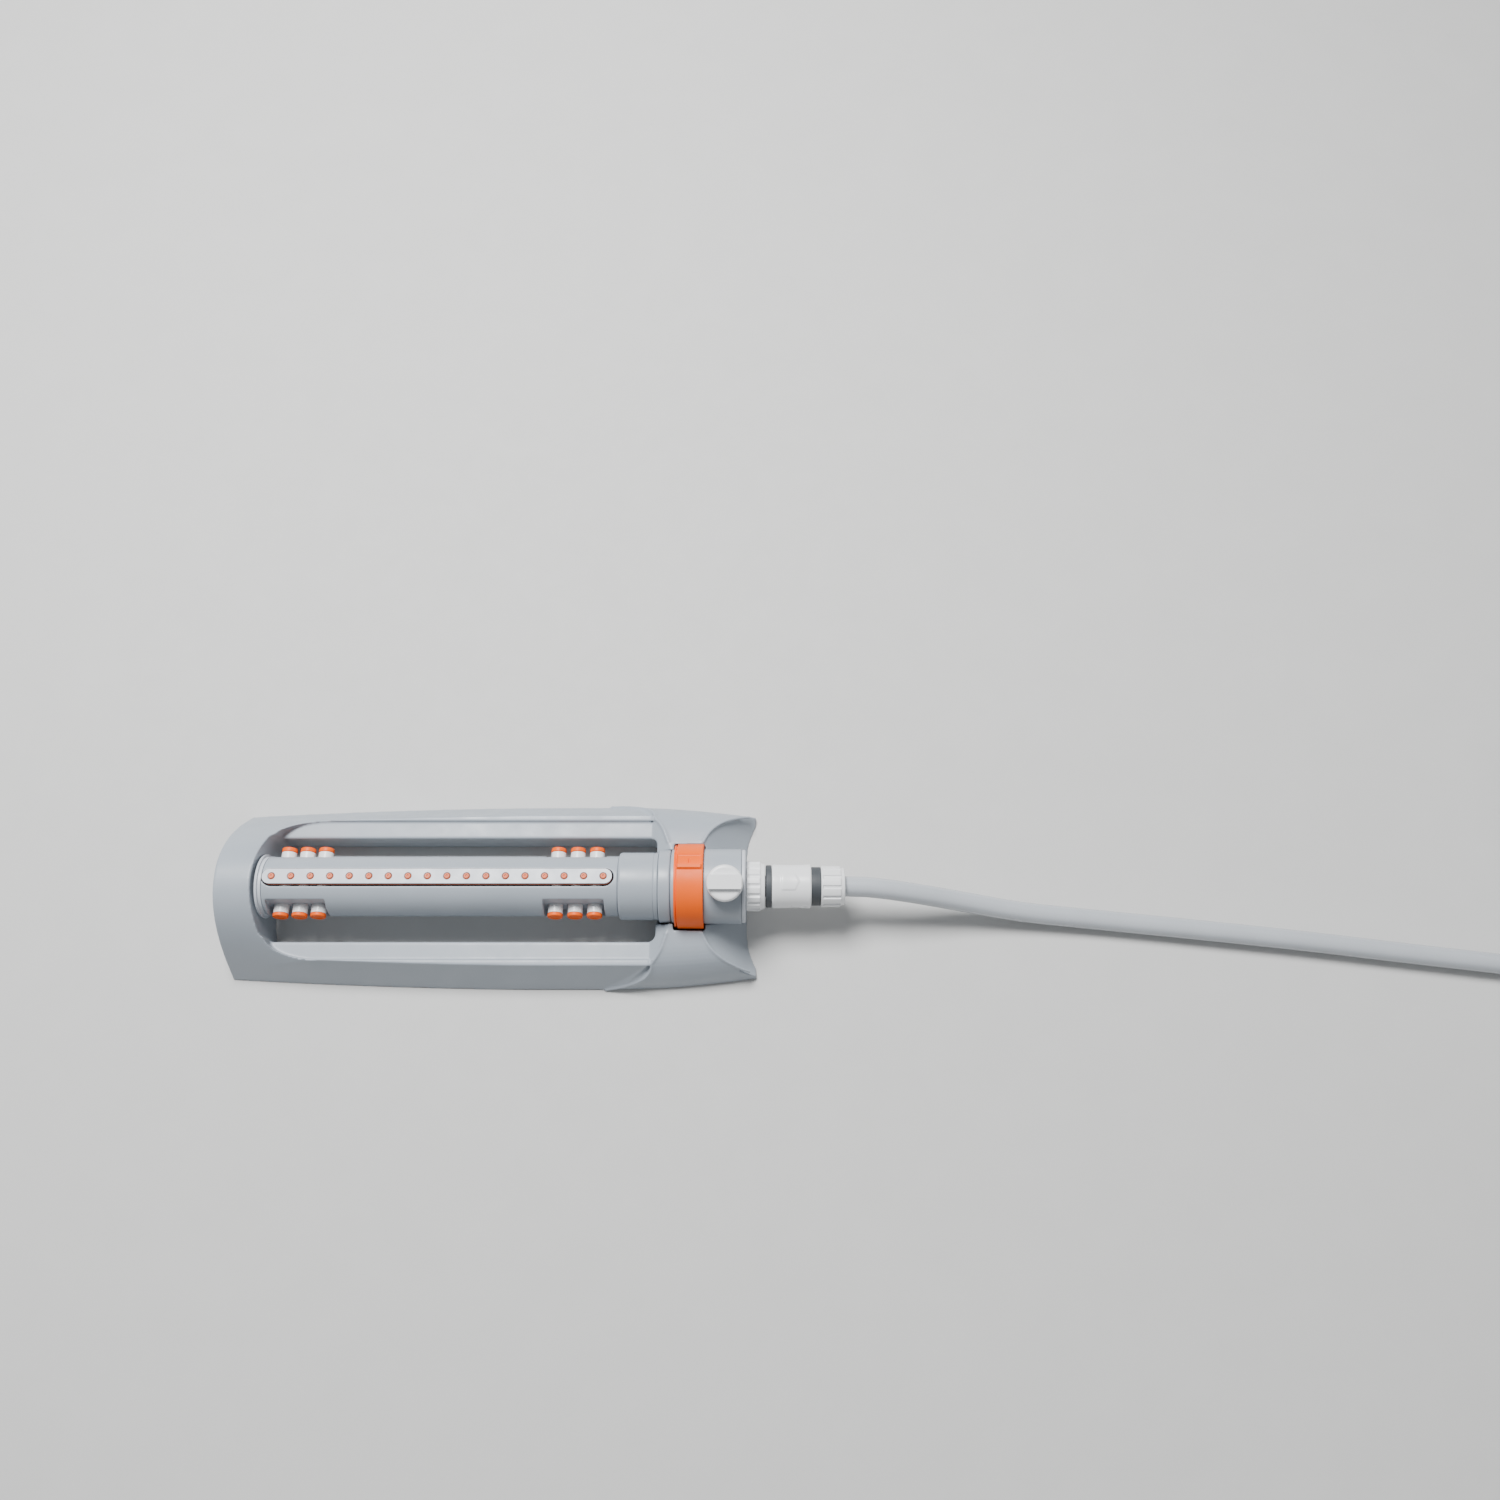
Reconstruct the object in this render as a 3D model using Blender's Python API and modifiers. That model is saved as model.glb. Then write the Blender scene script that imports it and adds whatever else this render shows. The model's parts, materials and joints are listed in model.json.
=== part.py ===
"""Oscillating lawn sprinkler with a turbine drive, range ring, flow knob, shut-off pins and hose.

Metres, +Z up. +X runs along the spray tube towards the hose, +Y is the back.
The origin is the centre of the sprinkler's footprint, on the ground.
"""

import math

import bmesh
import bpy
from mathutils import Matrix, Vector

# ---------------------------------------------------------------- driving dimensions
GAP = 0.0003            # clearance between pieces that touch
WALL = 0.0025           # moulded shell thickness
AXIS_Z = 0.040          # height of the spray tube's axis
TUBE_TILT = math.radians(-6)    # rest angle of the spray tube about +X, nozzles turned to the back
KNOB_TILT = math.radians(9)     # the flow knob leans to the front

LEFT_END = -0.228       # base frame
RIGHT_END = 0.199
WIDEST_X = 0.072
HALF_WIDTH = 0.0775
LEFT_TAPER = 0.0085
RIGHT_TAPER = 0.0095
SKIRT_RUN = 0.0150      # how far the skirt flares outwards, from rail edge to ground
RAIL_Z = 0.030
PLATEAU_Z = 0.028
PLATEAU_HALF = 0.0575
PLATEAU_LEFT = -0.192
PLATEAU_RIGHT = 0.1133
ARCH_Z = 0.068
ARCH_END_X = -0.158
ARCH_CREASE_Z = 0.008
SLOT_LEFT = -0.1993
SLOT_RIGHT = 0.118
SLOT_HALF = 0.0427
SLOT_CORNER = 0.006
SLOT_BOW = 0.0050       # how far the slot's left end curves in at its corners

TUBE_LEFT = -0.192      # spray tube
TUBE_RIGHT = 0.0893
TUBE_RADIUS = 0.024
TUBE_BORE = 0.0215
SLEEVE_RIGHT = 0.1208
SLEEVE_RADIUS = 0.027
STRIP_LEFT = -0.191
STRIP_RIGHT = 0.085
STRIP_HALF = 0.006
STRIP_TOP = 0.0256
NOZZLES = 18
NOZZLE_FIRST = -0.1836
NOZZLE_PITCH = 0.0154

PIN_RADIUS = 0.006      # shut-off pins
PIN_FRONT = -0.0230        # the white shaft's two ends, then the caps beyond them
PIN_BACK = 0.0280
PIN_CAP_FRONT = 0.0028
PIN_CAP_BACK = 0.0035
PIN_TRAVEL = 0.0075
PIN_XS = (-0.1806, -0.1655, -0.1506, 0.0385, 0.0543, 0.0699)
POCKET_Y = 0.0165
POCKET_LOW = -0.0080
POCKET_HIGH_FRONT = 0.0190  # open upward
POCKET_HIGH_BACK = 0.0125   # roofed by the tube's own wall
POCKET_WALL_HIGH = 0.0190

COVER_LEFT = 0.1212     # drive housing
COVER_RIGHT = 0.1307
COVER_RADIUS = 0.029
HOUSING_LEFT = 0.1315
HOUSING_RIGHT = 0.1873
HOUSING_RADIUS = 0.030
HOUSING_BORE = 0.0272
RING_LEFT = 0.1338
RING_RIGHT = 0.1570
RING_RADIUS = 0.034
RING_SEAT = 0.0295
CAP_RIGHT = 0.1906
SPIGOT_RIGHT = 0.2030
SPIGOT_RADIUS = 0.012
KNOB_X = 0.1743
KNOB_RADIUS = 0.0144
KNOB_LOW = 0.0330       # distances from the tube axis, along the knob's own axis
KNOB_HIGH = 0.0420

GEAR_MODULE = 0.00075   # drive gears
PINION_TEETH = 8
WHEEL_TEETH = 20
PRESSURE_ANGLE = math.radians(25)
GEAR_BACKLASH = 0.00014
GEAR_WIDTH = 0.0022
GEAR_STEP = 0.0026
GEAR_CENTRES = GEAR_MODULE * (PINION_TEETH + WHEEL_TEETH) / 2
GEAR_FIRST_X = 0.1360
LAY_Z = AXIS_Z - GEAR_CENTRES
SHAFT_RADIUS = 0.0012
SHAFT_BORE = 0.0015

ADAPTOR_LEFT = 0.1909   # tap adaptor on the inlet
ADAPTOR_RIGHT = 0.2058
ADAPTOR_RADIUS = 0.020
NIPPLE_RIGHT = 0.2280
NIPPLE_RADIUS = 0.0085

CONNECTOR_GRIP_RADIUS = 0.0170  # hose connector, lengths measured from its mouth
CONNECTOR_X = 0.2066
SLEEVE_START = 0.0048
SLEEVE_END = 0.0364
COLLAR_START = 0.0280
COLLAR_RADIUS = 0.0155
NUT_START = 0.0442
NUT_END = 0.0634
CONNECTOR_SLEEVE_RADIUS = 0.0176
NUT_RADIUS = 0.0164

HOSE_RADIUS = 0.00825   # hose
HOSE_POINTS = 36
COIL_CENTRE = (0.9575, 0.0421)
COIL_OUTER = 0.1250
COIL_INNER = 0.0581
COIL_HEIGHT = 0.0671
HOSE_ROUTE = (
    (0.2703, 0.0000, 0.0400),
    (0.2900, -0.0007, 0.0397),
    (0.3200, -0.0035, 0.0350),
    (0.3680, -0.0088, 0.0225),
    (0.4160, -0.0150, 0.0125),
    (0.4820, -0.0212, 0.0087),
    (0.5630, -0.0295, 0.0087),
    (0.6440, -0.0382, 0.0087),
    (0.7250, -0.0480, 0.0087),
    (0.7890, -0.0555, 0.0087),
    (0.8350, -0.0609, 0.0087),
    (0.8796, -0.0661, 0.0087),
)
TAIL_ANGLE = math.radians(180)  # where the hose's loose end leaves the top of the coil
TAIL_RADIUS = 0.0998
TAIL_LENGTH = 0.0600

OBJECT_NAME = "oscillating_sprinkler"
TURN_X = Matrix.Rotation(math.radians(90), 4, "Y")      # local Z onto +X
FACE_X = Matrix(((0, 0, 1, 0), (1, 0, 0, 0), (0, 1, 0, 0), (0, 0, 0, 1)))  # local XY onto YZ


# ---------------------------------------------------------------- scene and materials
def clear_scene():
    for obj in list(bpy.data.objects):
        bpy.data.objects.remove(obj, do_unlink=True)


def make_collection(name):
    found = bpy.data.collections.new(name)
    bpy.context.scene.collection.children.link(found)
    return found


def make_material(name, colour, roughness, metallic=0.0):
    material = bpy.data.materials.new(name)
    material.use_nodes = True
    shader = material.node_tree.nodes["Principled BSDF"]
    shader.inputs["Base Color"].default_value = (*colour, 1.0)
    shader.inputs["Roughness"].default_value = roughness
    shader.inputs["Metallic"].default_value = metallic
    material.diffuse_color = (*colour, 1.0)
    return material


clear_scene()
PARTS = make_collection(OBJECT_NAME)
CUTTERS = make_collection("cutters")
GREY = make_material("grey_plastic", (0.29, 0.33, 0.36), 0.42)
LIGHT_GREY = make_material("light_grey_plastic", (0.62, 0.64, 0.67), 0.38)
WHITE = make_material("white_plastic", (0.86, 0.87, 0.88), 0.32)
ORANGE = make_material("orange_plastic", (0.95, 0.24, 0.02), 0.36)
SOFT_ORANGE = make_material("orange_rubber", (0.74, 0.25, 0.12), 0.60)
DARK = make_material("dark_soft_plastic", (0.07, 0.08, 0.09), 0.62)
RUBBER = make_material("black_rubber", (0.02, 0.02, 0.02), 0.70)
GEAR_WHITE = make_material("acetal", (0.80, 0.80, 0.76), 0.40)
STEEL = make_material("stainless_steel", (0.62, 0.62, 0.62), 0.28, 1.0)
HOSE_SKIN = make_material("hose_vinyl", (0.66, 0.68, 0.70), 0.30)


# ---------------------------------------------------------------- modelling helpers
def place(obj, material, collection=None):
    """Links an object, as a part with a material, or as a cutter without one."""
    (collection or PARTS).objects.link(obj)
    if material is None:
        obj.hide_render = True
        obj.display_type = "WIRE"
    else:
        obj.data.materials.append(material)
    return obj


def mesh_object(name, bm, material, matrix=None):
    """An object whose mesh has its faces pointing out. material None makes it a cutter."""
    bmesh.ops.remove_doubles(bm, verts=bm.verts, dist=1e-7)
    bmesh.ops.recalc_face_normals(bm, faces=bm.faces)
    mesh = bpy.data.meshes.new(name)
    bm.to_mesh(mesh)
    bm.free()
    obj = bpy.data.objects.new(name, mesh)
    obj.matrix_world = matrix or Matrix.Identity(4)
    place(obj, material, None if material else CUTTERS)
    return obj


def smooth(obj, degrees=35):
    obj.data.shade_smooth()
    obj.data.set_sharp_from_angle(angle=math.radians(degrees))
    return obj


def turned(name, outer, inner, material, matrix, steps=32):
    """A Screw solid about the matrix's Z. outer and inner are (along, radius), with along rising."""
    profile = [(radius, along) for along, radius in reversed(outer)]
    if inner:
        profile += [(radius, along) for along, radius in inner]
    else:
        profile = [(0.0, outer[-1][0])] + profile + [(0.0, outer[0][0])]
    bm = bmesh.new()
    points = [bm.verts.new((radius, 0.0, along)) for radius, along in profile]
    pairs = list(zip(points, points[1:]))
    if inner:
        pairs.append((points[-1], points[0]))
    for first, second in pairs:
        bm.edges.new((first, second))
    mesh = bpy.data.meshes.new(name)
    bm.to_mesh(mesh)
    bm.free()
    obj = bpy.data.objects.new(name, mesh)
    obj.matrix_world = matrix
    screw = obj.modifiers.new("Screw", "SCREW")
    screw.axis = "Z"
    screw.angle = math.tau
    screw.steps = steps
    screw.render_steps = steps
    screw.use_smooth_shade = True
    screw.use_merge_vertices = True
    screw.merge_threshold = 1e-6
    return place(obj, material, None if material else CUTTERS)


def ring(low, high, inner, outer):
    """The outer and inner outlines of a plain ring."""
    return [(low, outer), (high, outer)], [(low, inner), (high, inner)]


def at(x, y=0.0, z=AXIS_Z):
    return Matrix.Translation((x, y, z))


def along_x(y=0.0, z=AXIS_Z):
    """Local Z along +X, with along given as the world X."""
    return at(0.0, y, z) @ TURN_X


def baked(obj):
    """The object as a mesh with its modifiers applied, as a Boolean's operand needs."""
    bpy.context.view_layer.update()
    graph = bpy.context.evaluated_depsgraph_get()
    mesh = bpy.data.meshes.new_from_object(obj.evaluated_get(graph))
    bm = bmesh.new()
    bm.from_mesh(mesh)
    bmesh.ops.remove_doubles(bm, verts=bm.verts, dist=1e-6)
    bmesh.ops.recalc_face_normals(bm, faces=bm.faces)
    bm.to_mesh(mesh)
    bm.free()
    made = bpy.data.objects.new(obj.name, mesh)
    made.matrix_world = obj.matrix_world.copy()
    collection = obj.users_collection[0]
    made.hide_render = obj.hide_render
    made.display_type = obj.display_type
    name = obj.name
    bpy.data.objects.remove(obj, do_unlink=True)
    made.name = name
    collection.objects.link(made)
    return made


def plate(name, outlines, low, high, material, matrix):
    """A flat outline in local XY, with holes after it, from low to high along local Z."""
    curve = bpy.data.curves.new(name, "CURVE")
    curve.dimensions = "2D"
    curve.fill_mode = "BOTH"
    curve.extrude = (high - low) / 2
    for outline in outlines:
        spline = curve.splines.new("POLY")
        spline.points.add(len(outline) - 1)
        spline.use_cyclic_u = True
        for point, (x, y) in zip(spline.points, outline):
            point.co = (x, y, 0.0, 1.0)
    obj = bpy.data.objects.new(name, curve)
    obj.matrix_world = matrix @ Matrix.Translation((0, 0, (low + high) / 2))
    place(obj, material, None if material else CUTTERS)
    return baked(obj)


def tube(name, points, radius, material, resolution=2):
    """A round tube along a polyline, with filled caps."""
    curve = bpy.data.curves.new(name, "CURVE")
    curve.dimensions = "3D"
    curve.bevel_depth = radius
    curve.bevel_resolution = resolution
    curve.use_fill_caps = True
    spline = curve.splines.new("POLY")
    spline.points.add(len(points) - 1)
    for point, co in zip(spline.points, points):
        point.co = (*co, 1.0)
    return place(bpy.data.objects.new(name, curve), material)


def box(name, low, high, material=None, matrix=None):
    bm = bmesh.new()
    centre = (Vector(low) + Vector(high)) / 2
    size = Vector(high) - Vector(low)
    bmesh.ops.create_cube(bm, size=1.0, matrix=Matrix.Translation(centre) @ Matrix.Diagonal((*size, 1.0)))
    return mesh_object(name, bm, material, matrix)


def loft(name, sections, material):
    """A closed skin over rings of points, one ring for each section, with flat ends."""
    bm = bmesh.new()
    rings = [[bm.verts.new(point) for point in section] for section in sections]
    count = len(rings[0])
    for here, there in zip(rings, rings[1:]):
        for i in range(count):
            j = (i + 1) % count
            bm.faces.new((here[i], here[j], there[j], there[i]))
    bmesh.ops.triangulate(bm, faces=bm.faces)
    bm.faces.new(rings[0])
    bm.faces.new(list(reversed(rings[-1])))
    return mesh_object(name, bm, material)


def boolean(target, other, operation="DIFFERENCE"):
    """Cuts or joins with a mesh, which then stays as a hidden helper."""
    modifier = target.modifiers.new(f"{operation.title()} {other.name}", "BOOLEAN")
    modifier.operation = operation
    modifier.solver = "EXACT"
    modifier.object = other
    if other.name in PARTS.objects:
        PARTS.objects.unlink(other)
        CUTTERS.objects.link(other)
    other.hide_render = True
    other.display_type = "WIRE"


def cut(target, *others):
    for other in others:
        boolean(target, other)


def join(target, *others):
    for other in others:
        boolean(target, other, "UNION")


def circle(radius, count=24, centre=(0.0, 0.0), start=0.0):
    angles = [start + math.tau * i / count for i in range(count)]
    return [(centre[0] + radius * math.cos(a), centre[1] + radius * math.sin(a)) for a in angles]


def smooth_route(route, count):
    """count points, evenly spaced, on a Catmull-Rom curve through the route."""
    knots = [Vector(p) for p in route]
    knots = [2 * knots[0] - knots[1]] + knots + [2 * knots[-1] - knots[-2]]
    fine = []
    for a, b, c, d in zip(knots, knots[1:], knots[2:], knots[3:]):
        for i in range(16):
            t = i / 16
            fine.append(0.5 * (2 * b + (c - a) * t + (2 * a - 5 * b + 4 * c - d) * t * t
                               + (3 * b - a - 3 * c + d) * t ** 3))
    fine.append(knots[-2])
    lengths = [0.0]
    for a, b in zip(fine, fine[1:]):
        lengths.append(lengths[-1] + (b - a).length)
    made = []
    k = 0
    for i in range(count):
        want = lengths[-1] * i / (count - 1)
        while k < len(fine) - 2 and lengths[k + 1] < want:
            k += 1
        share = (want - lengths[k]) / (lengths[k + 1] - lengths[k])
        made.append(fine[k].lerp(fine[k + 1], share))
    return made


# ---------------------------------------------------------------- base frame
def half_width(x):
    """Half the base's width on the ground: widest near the drive end, drawn in at both ends."""
    if x < WIDEST_X:
        return HALF_WIDTH - LEFT_TAPER * ((x - WIDEST_X) / (LEFT_END - WIDEST_X)) ** 2
    return HALF_WIDTH - RIGHT_TAPER * ((x - WIDEST_X) / (RIGHT_END - WIDEST_X)) ** 2


def arch_profile(x):
    """Top centre to ground, as (y, z), of the arch that bridges the left end."""
    share = min(1.0, (x - LEFT_END) / (ARCH_END_X - LEFT_END))
    edge = half_width(x) - SKIRT_RUN * (0.3 + 0.7 * share)
    crease = ARCH_CREASE_Z + (RAIL_Z - ARCH_CREASE_Z) * share
    points = []
    for y in (0.0, 0.12, 0.25, 0.38, 0.50, 0.62, 0.74, 0.86, 1.0):
        fall = 1 - (1 - (crease / ARCH_Z)) * y ** 2.1
        points.append((edge * y, ARCH_Z * fall))
    return points + [(half_width(x), 0.0)]


def rail_profile(x):
    edge = half_width(x) - SKIRT_RUN
    points = [(edge * i / 8, RAIL_Z) for i in range(8)]
    return points + [(edge, RAIL_Z - 0.0005), (half_width(x), 0.0)]


def strap_profile(x):
    """The bridge that carries the drive housing: convex down to the ground."""
    wide = half_width(x)
    shape = ((0.0, 0.046), (0.20, 0.0435), (0.40, 0.0405), (0.56, 0.0375), (0.68, 0.0345), (0.79, 0.0295),
             (0.87, 0.0230), (0.93, 0.0160), (0.975, 0.0080), (1.0, 0.0))
    return [(wide * y, z) for y, z in shape]


def strap_edge(z):
    """X of the bridge's left boundary on the skirt, which sweeps to the left as it nears the ground."""
    return PLATEAU_RIGHT - 0.044 * max(0.0, 1 - z / RAIL_Z) ** 2.2


def section(points, x_of):
    """A closed ring of 3-D points: the half outline and its mirror image."""
    back = [(x_of(z), y, z) for y, z in points]
    front = [(x_of(z), -y, z) for y, z in reversed(points[1:])]
    return back + front


def base_sections(shrink, drop):
    """The base's outer form, or the hollow under it when it is shrunk and dropped by a wall."""
    def inset(points):
        return [(y * (1 - shrink / HALF_WIDTH), z - drop if z > 0 else -4 * drop) for y, z in points]

    def rail(x):
        return inset([(y, min(z, RAIL_Z - drop)) for y, z in rail_profile(x)])

    stations = [(LEFT_END + shrink, inset(arch_profile(LEFT_END)))]
    stations += [(x, inset(arch_profile(x))) for x in (-0.210, -0.185, ARCH_END_X)]
    stations += [(x, rail(x)) for x in (ARCH_END_X + 0.0030, -0.110, -0.050, 0.010)]
    made = [section(points, lambda z, x=x: x) for x, points in stations]
    made.append(section(rail(0.090), strap_edge))
    made.append(section(inset(strap_profile(0.090)), lambda z: strap_edge(z) + 0.002))
    for x in (0.125, 0.150, 0.175, RIGHT_END - shrink):
        made.append(section(inset(strap_profile(x)), lambda z, x=x: x))
    return made


def plateau_outline(grow):
    """Plan outline of the lowered rail tops: elliptical at the left, square at the right."""
    wide = PLATEAU_HALF + grow
    points = [(PLATEAU_RIGHT + grow, wide)]
    for i in range(9):
        angle = math.radians(90) * i / 8
        points.append((-0.151 - 0.0405 * math.sin(angle) - grow, 0.0420 + (wide - 0.0420) * math.cos(angle)))
    points.append((PLATEAU_LEFT - grow, 0.0330))
    return points + [(x, -y) for x, y in reversed(points)]


def plateau_cutter(name, low, grow):
    """Clears everything over the rails. Its right end leans, which leaves a sloped flank on the bridge."""
    cutter = plate(name, [plateau_outline(grow)], low, 0.090, None, Matrix.Identity(4))
    for vertex in cutter.data.vertices:
        if vertex.co.x > 0 and vertex.co.z > 0:
            vertex.co.x += 1.3 * (0.090 - low)
    return cutter


def slot_outline(grow):
    """Plan outline of the opening the spray tube swings in. Its left end is bowed."""
    radius = SLOT_CORNER + grow
    y = SLOT_HALF - SLOT_CORNER
    left = SLOT_LEFT + SLOT_BOW * (y / SLOT_HALF) ** 2 + SLOT_CORNER
    points = []
    for x, start in ((SLOT_RIGHT - SLOT_CORNER, 0), (left, 90)):
        for i in range(6):
            angle = math.radians(start + 90 * i / 5)
            points.append((x + radius * math.cos(angle), y + radius * math.sin(angle)))
    for share in (0.75, 0.5, 0.25):
        points.append((SLOT_LEFT + SLOT_BOW * (share * y / SLOT_HALF) ** 2 - grow, share * y))
    centre = [(SLOT_LEFT - grow, 0.0)]
    return points + centre + [(x, -y) for x, y in reversed(points)]


def scoop_x(y, z, shift):
    """X of the concave end wall at the hose end."""
    bow = max(0.0, abs(y) - 0.033) / 0.035
    return 0.192 - 0.95 * z + 0.0126 * bow ** 2 - shift


def scoop_cutter(name, shift):
    sections = []
    for i in range(15):
        y = 0.098 * (i - 7) / 7
        low = scoop_x(y, -0.010, shift)
        high = scoop_x(y, 0.060, shift)
        sections.append([(low, y, -0.010), (high, y, 0.060), (0.280, y, 0.060), (0.280, y, -0.010)])
    return loft(name, sections, None)


def base_frame():
    base = loft("base_frame", base_sections(0.0, 0.0), GREY)
    hollow = loft("hollow", base_sections(WALL, WALL), None)
    cut(
        hollow,
        plate("slot_wall", [slot_outline(WALL)], -0.030, 0.120, None, Matrix.Identity(4)),
        plateau_cutter("under_plateau", PLATEAU_Z - WALL, WALL),
        scoop_cutter("inner_scoop", 0.0036),
        box("rib_left", (0.1245, -0.1, -0.1), (0.1270, 0.1, 0.1)),
        box("rib_middle", (0.1610, -0.1, -0.1), (0.1635, 0.1, 0.1)),
    )
    hollow = baked(hollow)
    hollow.name = "hollow"
    trough = turned("trough", [(0.100, 0.0303), (0.1325, 0.0303), (0.1326, 0.0356), (0.1578, 0.0356),
                               (0.1579, 0.0303), (0.260, 0.0303)], None, None, along_x(), 32)
    bearing = turned("bearing_hole", [(-0.215, 0.0063), (-0.190, 0.0063)], None, None, along_x(), 20)
    cut(
        base,
        plateau_cutter("plateau", PLATEAU_Z, 0.0),
        scoop_cutter("scoop", 0.0),
        plate("slot", [slot_outline(0.0)], -0.030, 0.120, None, Matrix.Identity(4)),
        hollow,
        baked(trough),
        baked(bearing),
    )
    return base


# ---------------------------------------------------------------- spray tube
def tube_frame(x=0.0):
    """The spray tube's own frame: on its axis, turned by its rest angle."""
    return at(x) @ Matrix.Rotation(TUBE_TILT, 4, "X")


def tube_turned():
    return tube_frame() @ TURN_X


def strip_outline(half, grow=0.0):
    """A pill in the tube frame's XY plane."""
    points = []
    radius = half + grow
    for centre, start in ((STRIP_RIGHT - half, -90), (STRIP_LEFT + half, 90)):
        for i in range(9):
            angle = math.radians(start + 180 * i / 8)
            points.append((centre + radius * math.cos(angle), radius * math.sin(angle)))
    return points


def pocket_wall(name, low, high, sign):
    """The material behind a pocket: a block across the tube's side, trimmed to the tube's own curve."""
    near, far = sorted((sign * 0.0145, sign * 0.0240))
    block = box(name, (low - WALL, near, POCKET_LOW - WALL), (high + WALL, far, POCKET_WALL_HIGH), None,
                tube_frame())
    core = turned(f"{name}_trim", [(TUBE_LEFT, TUBE_RADIUS - 0.0003), (TUBE_RIGHT, TUBE_RADIUS - 0.0003)],
                  None, None, tube_turned(), 36)
    boolean(block, baked(core), "INTERSECT")
    return block


def tube_shell():
    outer, inner = ring(TUBE_LEFT, TUBE_RIGHT, TUBE_BORE, TUBE_RADIUS)
    shell = baked(turned("tube_shell", outer, inner, GREY, tube_turned(), 36))
    frame = tube_frame()
    cutters = [plate("strip_seat", [strip_outline(STRIP_HALF, 0.0012)], 0.0190, 0.0300, None, frame)]
    for name, xs in (("left", PIN_XS[:3]), ("right", PIN_XS[3:])):
        low = min(xs) - 0.0085
        high = max(xs) + 0.0085
        for side, sign in (("front", -1), ("back", 1)):
            wall = pocket_wall(f"pocket_wall_{name}_{side}", low, high, sign)
            join(shell, wall)
            y_low, y_high = sorted((sign * POCKET_Y, sign * 0.040))
            top = POCKET_HIGH_BACK if sign > 0 else POCKET_HIGH_FRONT
            cutters.append(box(f"pocket_{name}_{side}", (low, y_low, POCKET_LOW), (high, y_high, top), None, frame))
    for k, x in enumerate(PIN_XS):
        bore = turned(f"pin_bore_{k}", [(-0.040, PIN_RADIUS + GAP), (0.040, PIN_RADIUS + GAP)], None, None,
                      frame @ Matrix.Translation((x, 0, 0)) @ Matrix.Rotation(math.radians(90), 4, "X"), 12)
        cutters.append(baked(bore))
    cut(shell, *cutters)
    return shell


def nozzle_strips():
    """A light cover strip and, under it, a soft strip whose nipples stand through its holes."""
    frame = tube_frame()
    holes = [circle(0.0026, 8, (NOZZLE_FIRST + k * NOZZLE_PITCH, 0.0)) for k in range(NOZZLES)]
    cover = plate("nozzle_cover_strip", [strip_outline(STRIP_HALF)] + holes, 0.0235, STRIP_TOP, LIGHT_GREY, frame)
    base = plate("nozzle_strip", [strip_outline(STRIP_HALF)], 0.0212, 0.0232, SOFT_ORANGE, frame)
    for k in range(NOZZLES):
        nipple = turned(f"nipple_{k}", [(0.0220, 0.0022), (0.0262, 0.0017)], None, None,
                        frame @ Matrix.Translation((NOZZLE_FIRST + k * NOZZLE_PITCH, 0, 0)), 8)
        join(base, baked(nipple))


def tube_fittings():
    turned("tube_end_cap",
           [(-0.2045, 0.0038), (-0.1969, 0.0038), (-0.1968, 0.0250), (-0.1948, 0.0255), (-0.1947, 0.0236),
            (-0.1923, 0.0236)], None, GREY, tube_turned(), 28)
    outer = [(TUBE_RIGHT + GAP, SLEEVE_RADIUS - 0.0006), (TUBE_RIGHT + 0.0012, SLEEVE_RADIUS),
             (SLEEVE_RIGHT, SLEEVE_RADIUS)]
    inner = [(TUBE_RIGHT + GAP, 0.0205), (SLEEVE_RIGHT - 0.004, 0.0205), (SLEEVE_RIGHT - 0.0039, 0.0088),
             (SLEEVE_RIGHT, 0.0088)]
    turned("tube_sleeve", outer, inner, GREY, tube_turned(), 32)
    gear_x = GEAR_FIRST_X - GAP
    turned("output_shaft",
           [(0.1125, 0.0125), (0.1162, 0.0125), (0.1163, 0.0084), (0.1290, 0.0084), (gear_x, 0.0084)],
           [(0.1125, 0.0055), (gear_x, 0.0055)], GEAR_WHITE, tube_turned(), 20)


def shut_off_pins():
    """Six pins across the tube, each with a cap at both ends."""
    for k, x in enumerate(PIN_XS, start=1):
        frame = tube_frame() @ Matrix.Translation((x, 0, 0)) @ Matrix.Rotation(math.radians(-90), 4, "X")
        neck = PIN_RADIUS - 0.0018
        turned(f"shutoff_pin_{k}",
               [(PIN_FRONT, PIN_RADIUS), (-0.0040, PIN_RADIUS), (-0.0038, neck), (0.0010, neck),
                (0.0012, PIN_RADIUS), (PIN_BACK, PIN_RADIUS)], None, WHITE, frame, 12)
        front = PIN_FRONT - GAP
        turned(f"pin_cap_front_{k}",
               [(front - PIN_CAP_FRONT, PIN_RADIUS - 0.0008), (front - PIN_CAP_FRONT + 0.0008, PIN_RADIUS + 0.0002),
                (front, PIN_RADIUS + 0.0002)], None, ORANGE, frame, 12)
        back = PIN_BACK + GAP
        turned(f"pin_cap_back_{k}",
               [(back, PIN_RADIUS + 0.0002), (back + PIN_CAP_BACK - 0.0008, PIN_RADIUS + 0.0002),
                (back + PIN_CAP_BACK, PIN_RADIUS - 0.0008)], None, ORANGE, frame, 12)


# ---------------------------------------------------------------- drive
def involute(angle):
    return math.tan(angle) - angle


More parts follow.
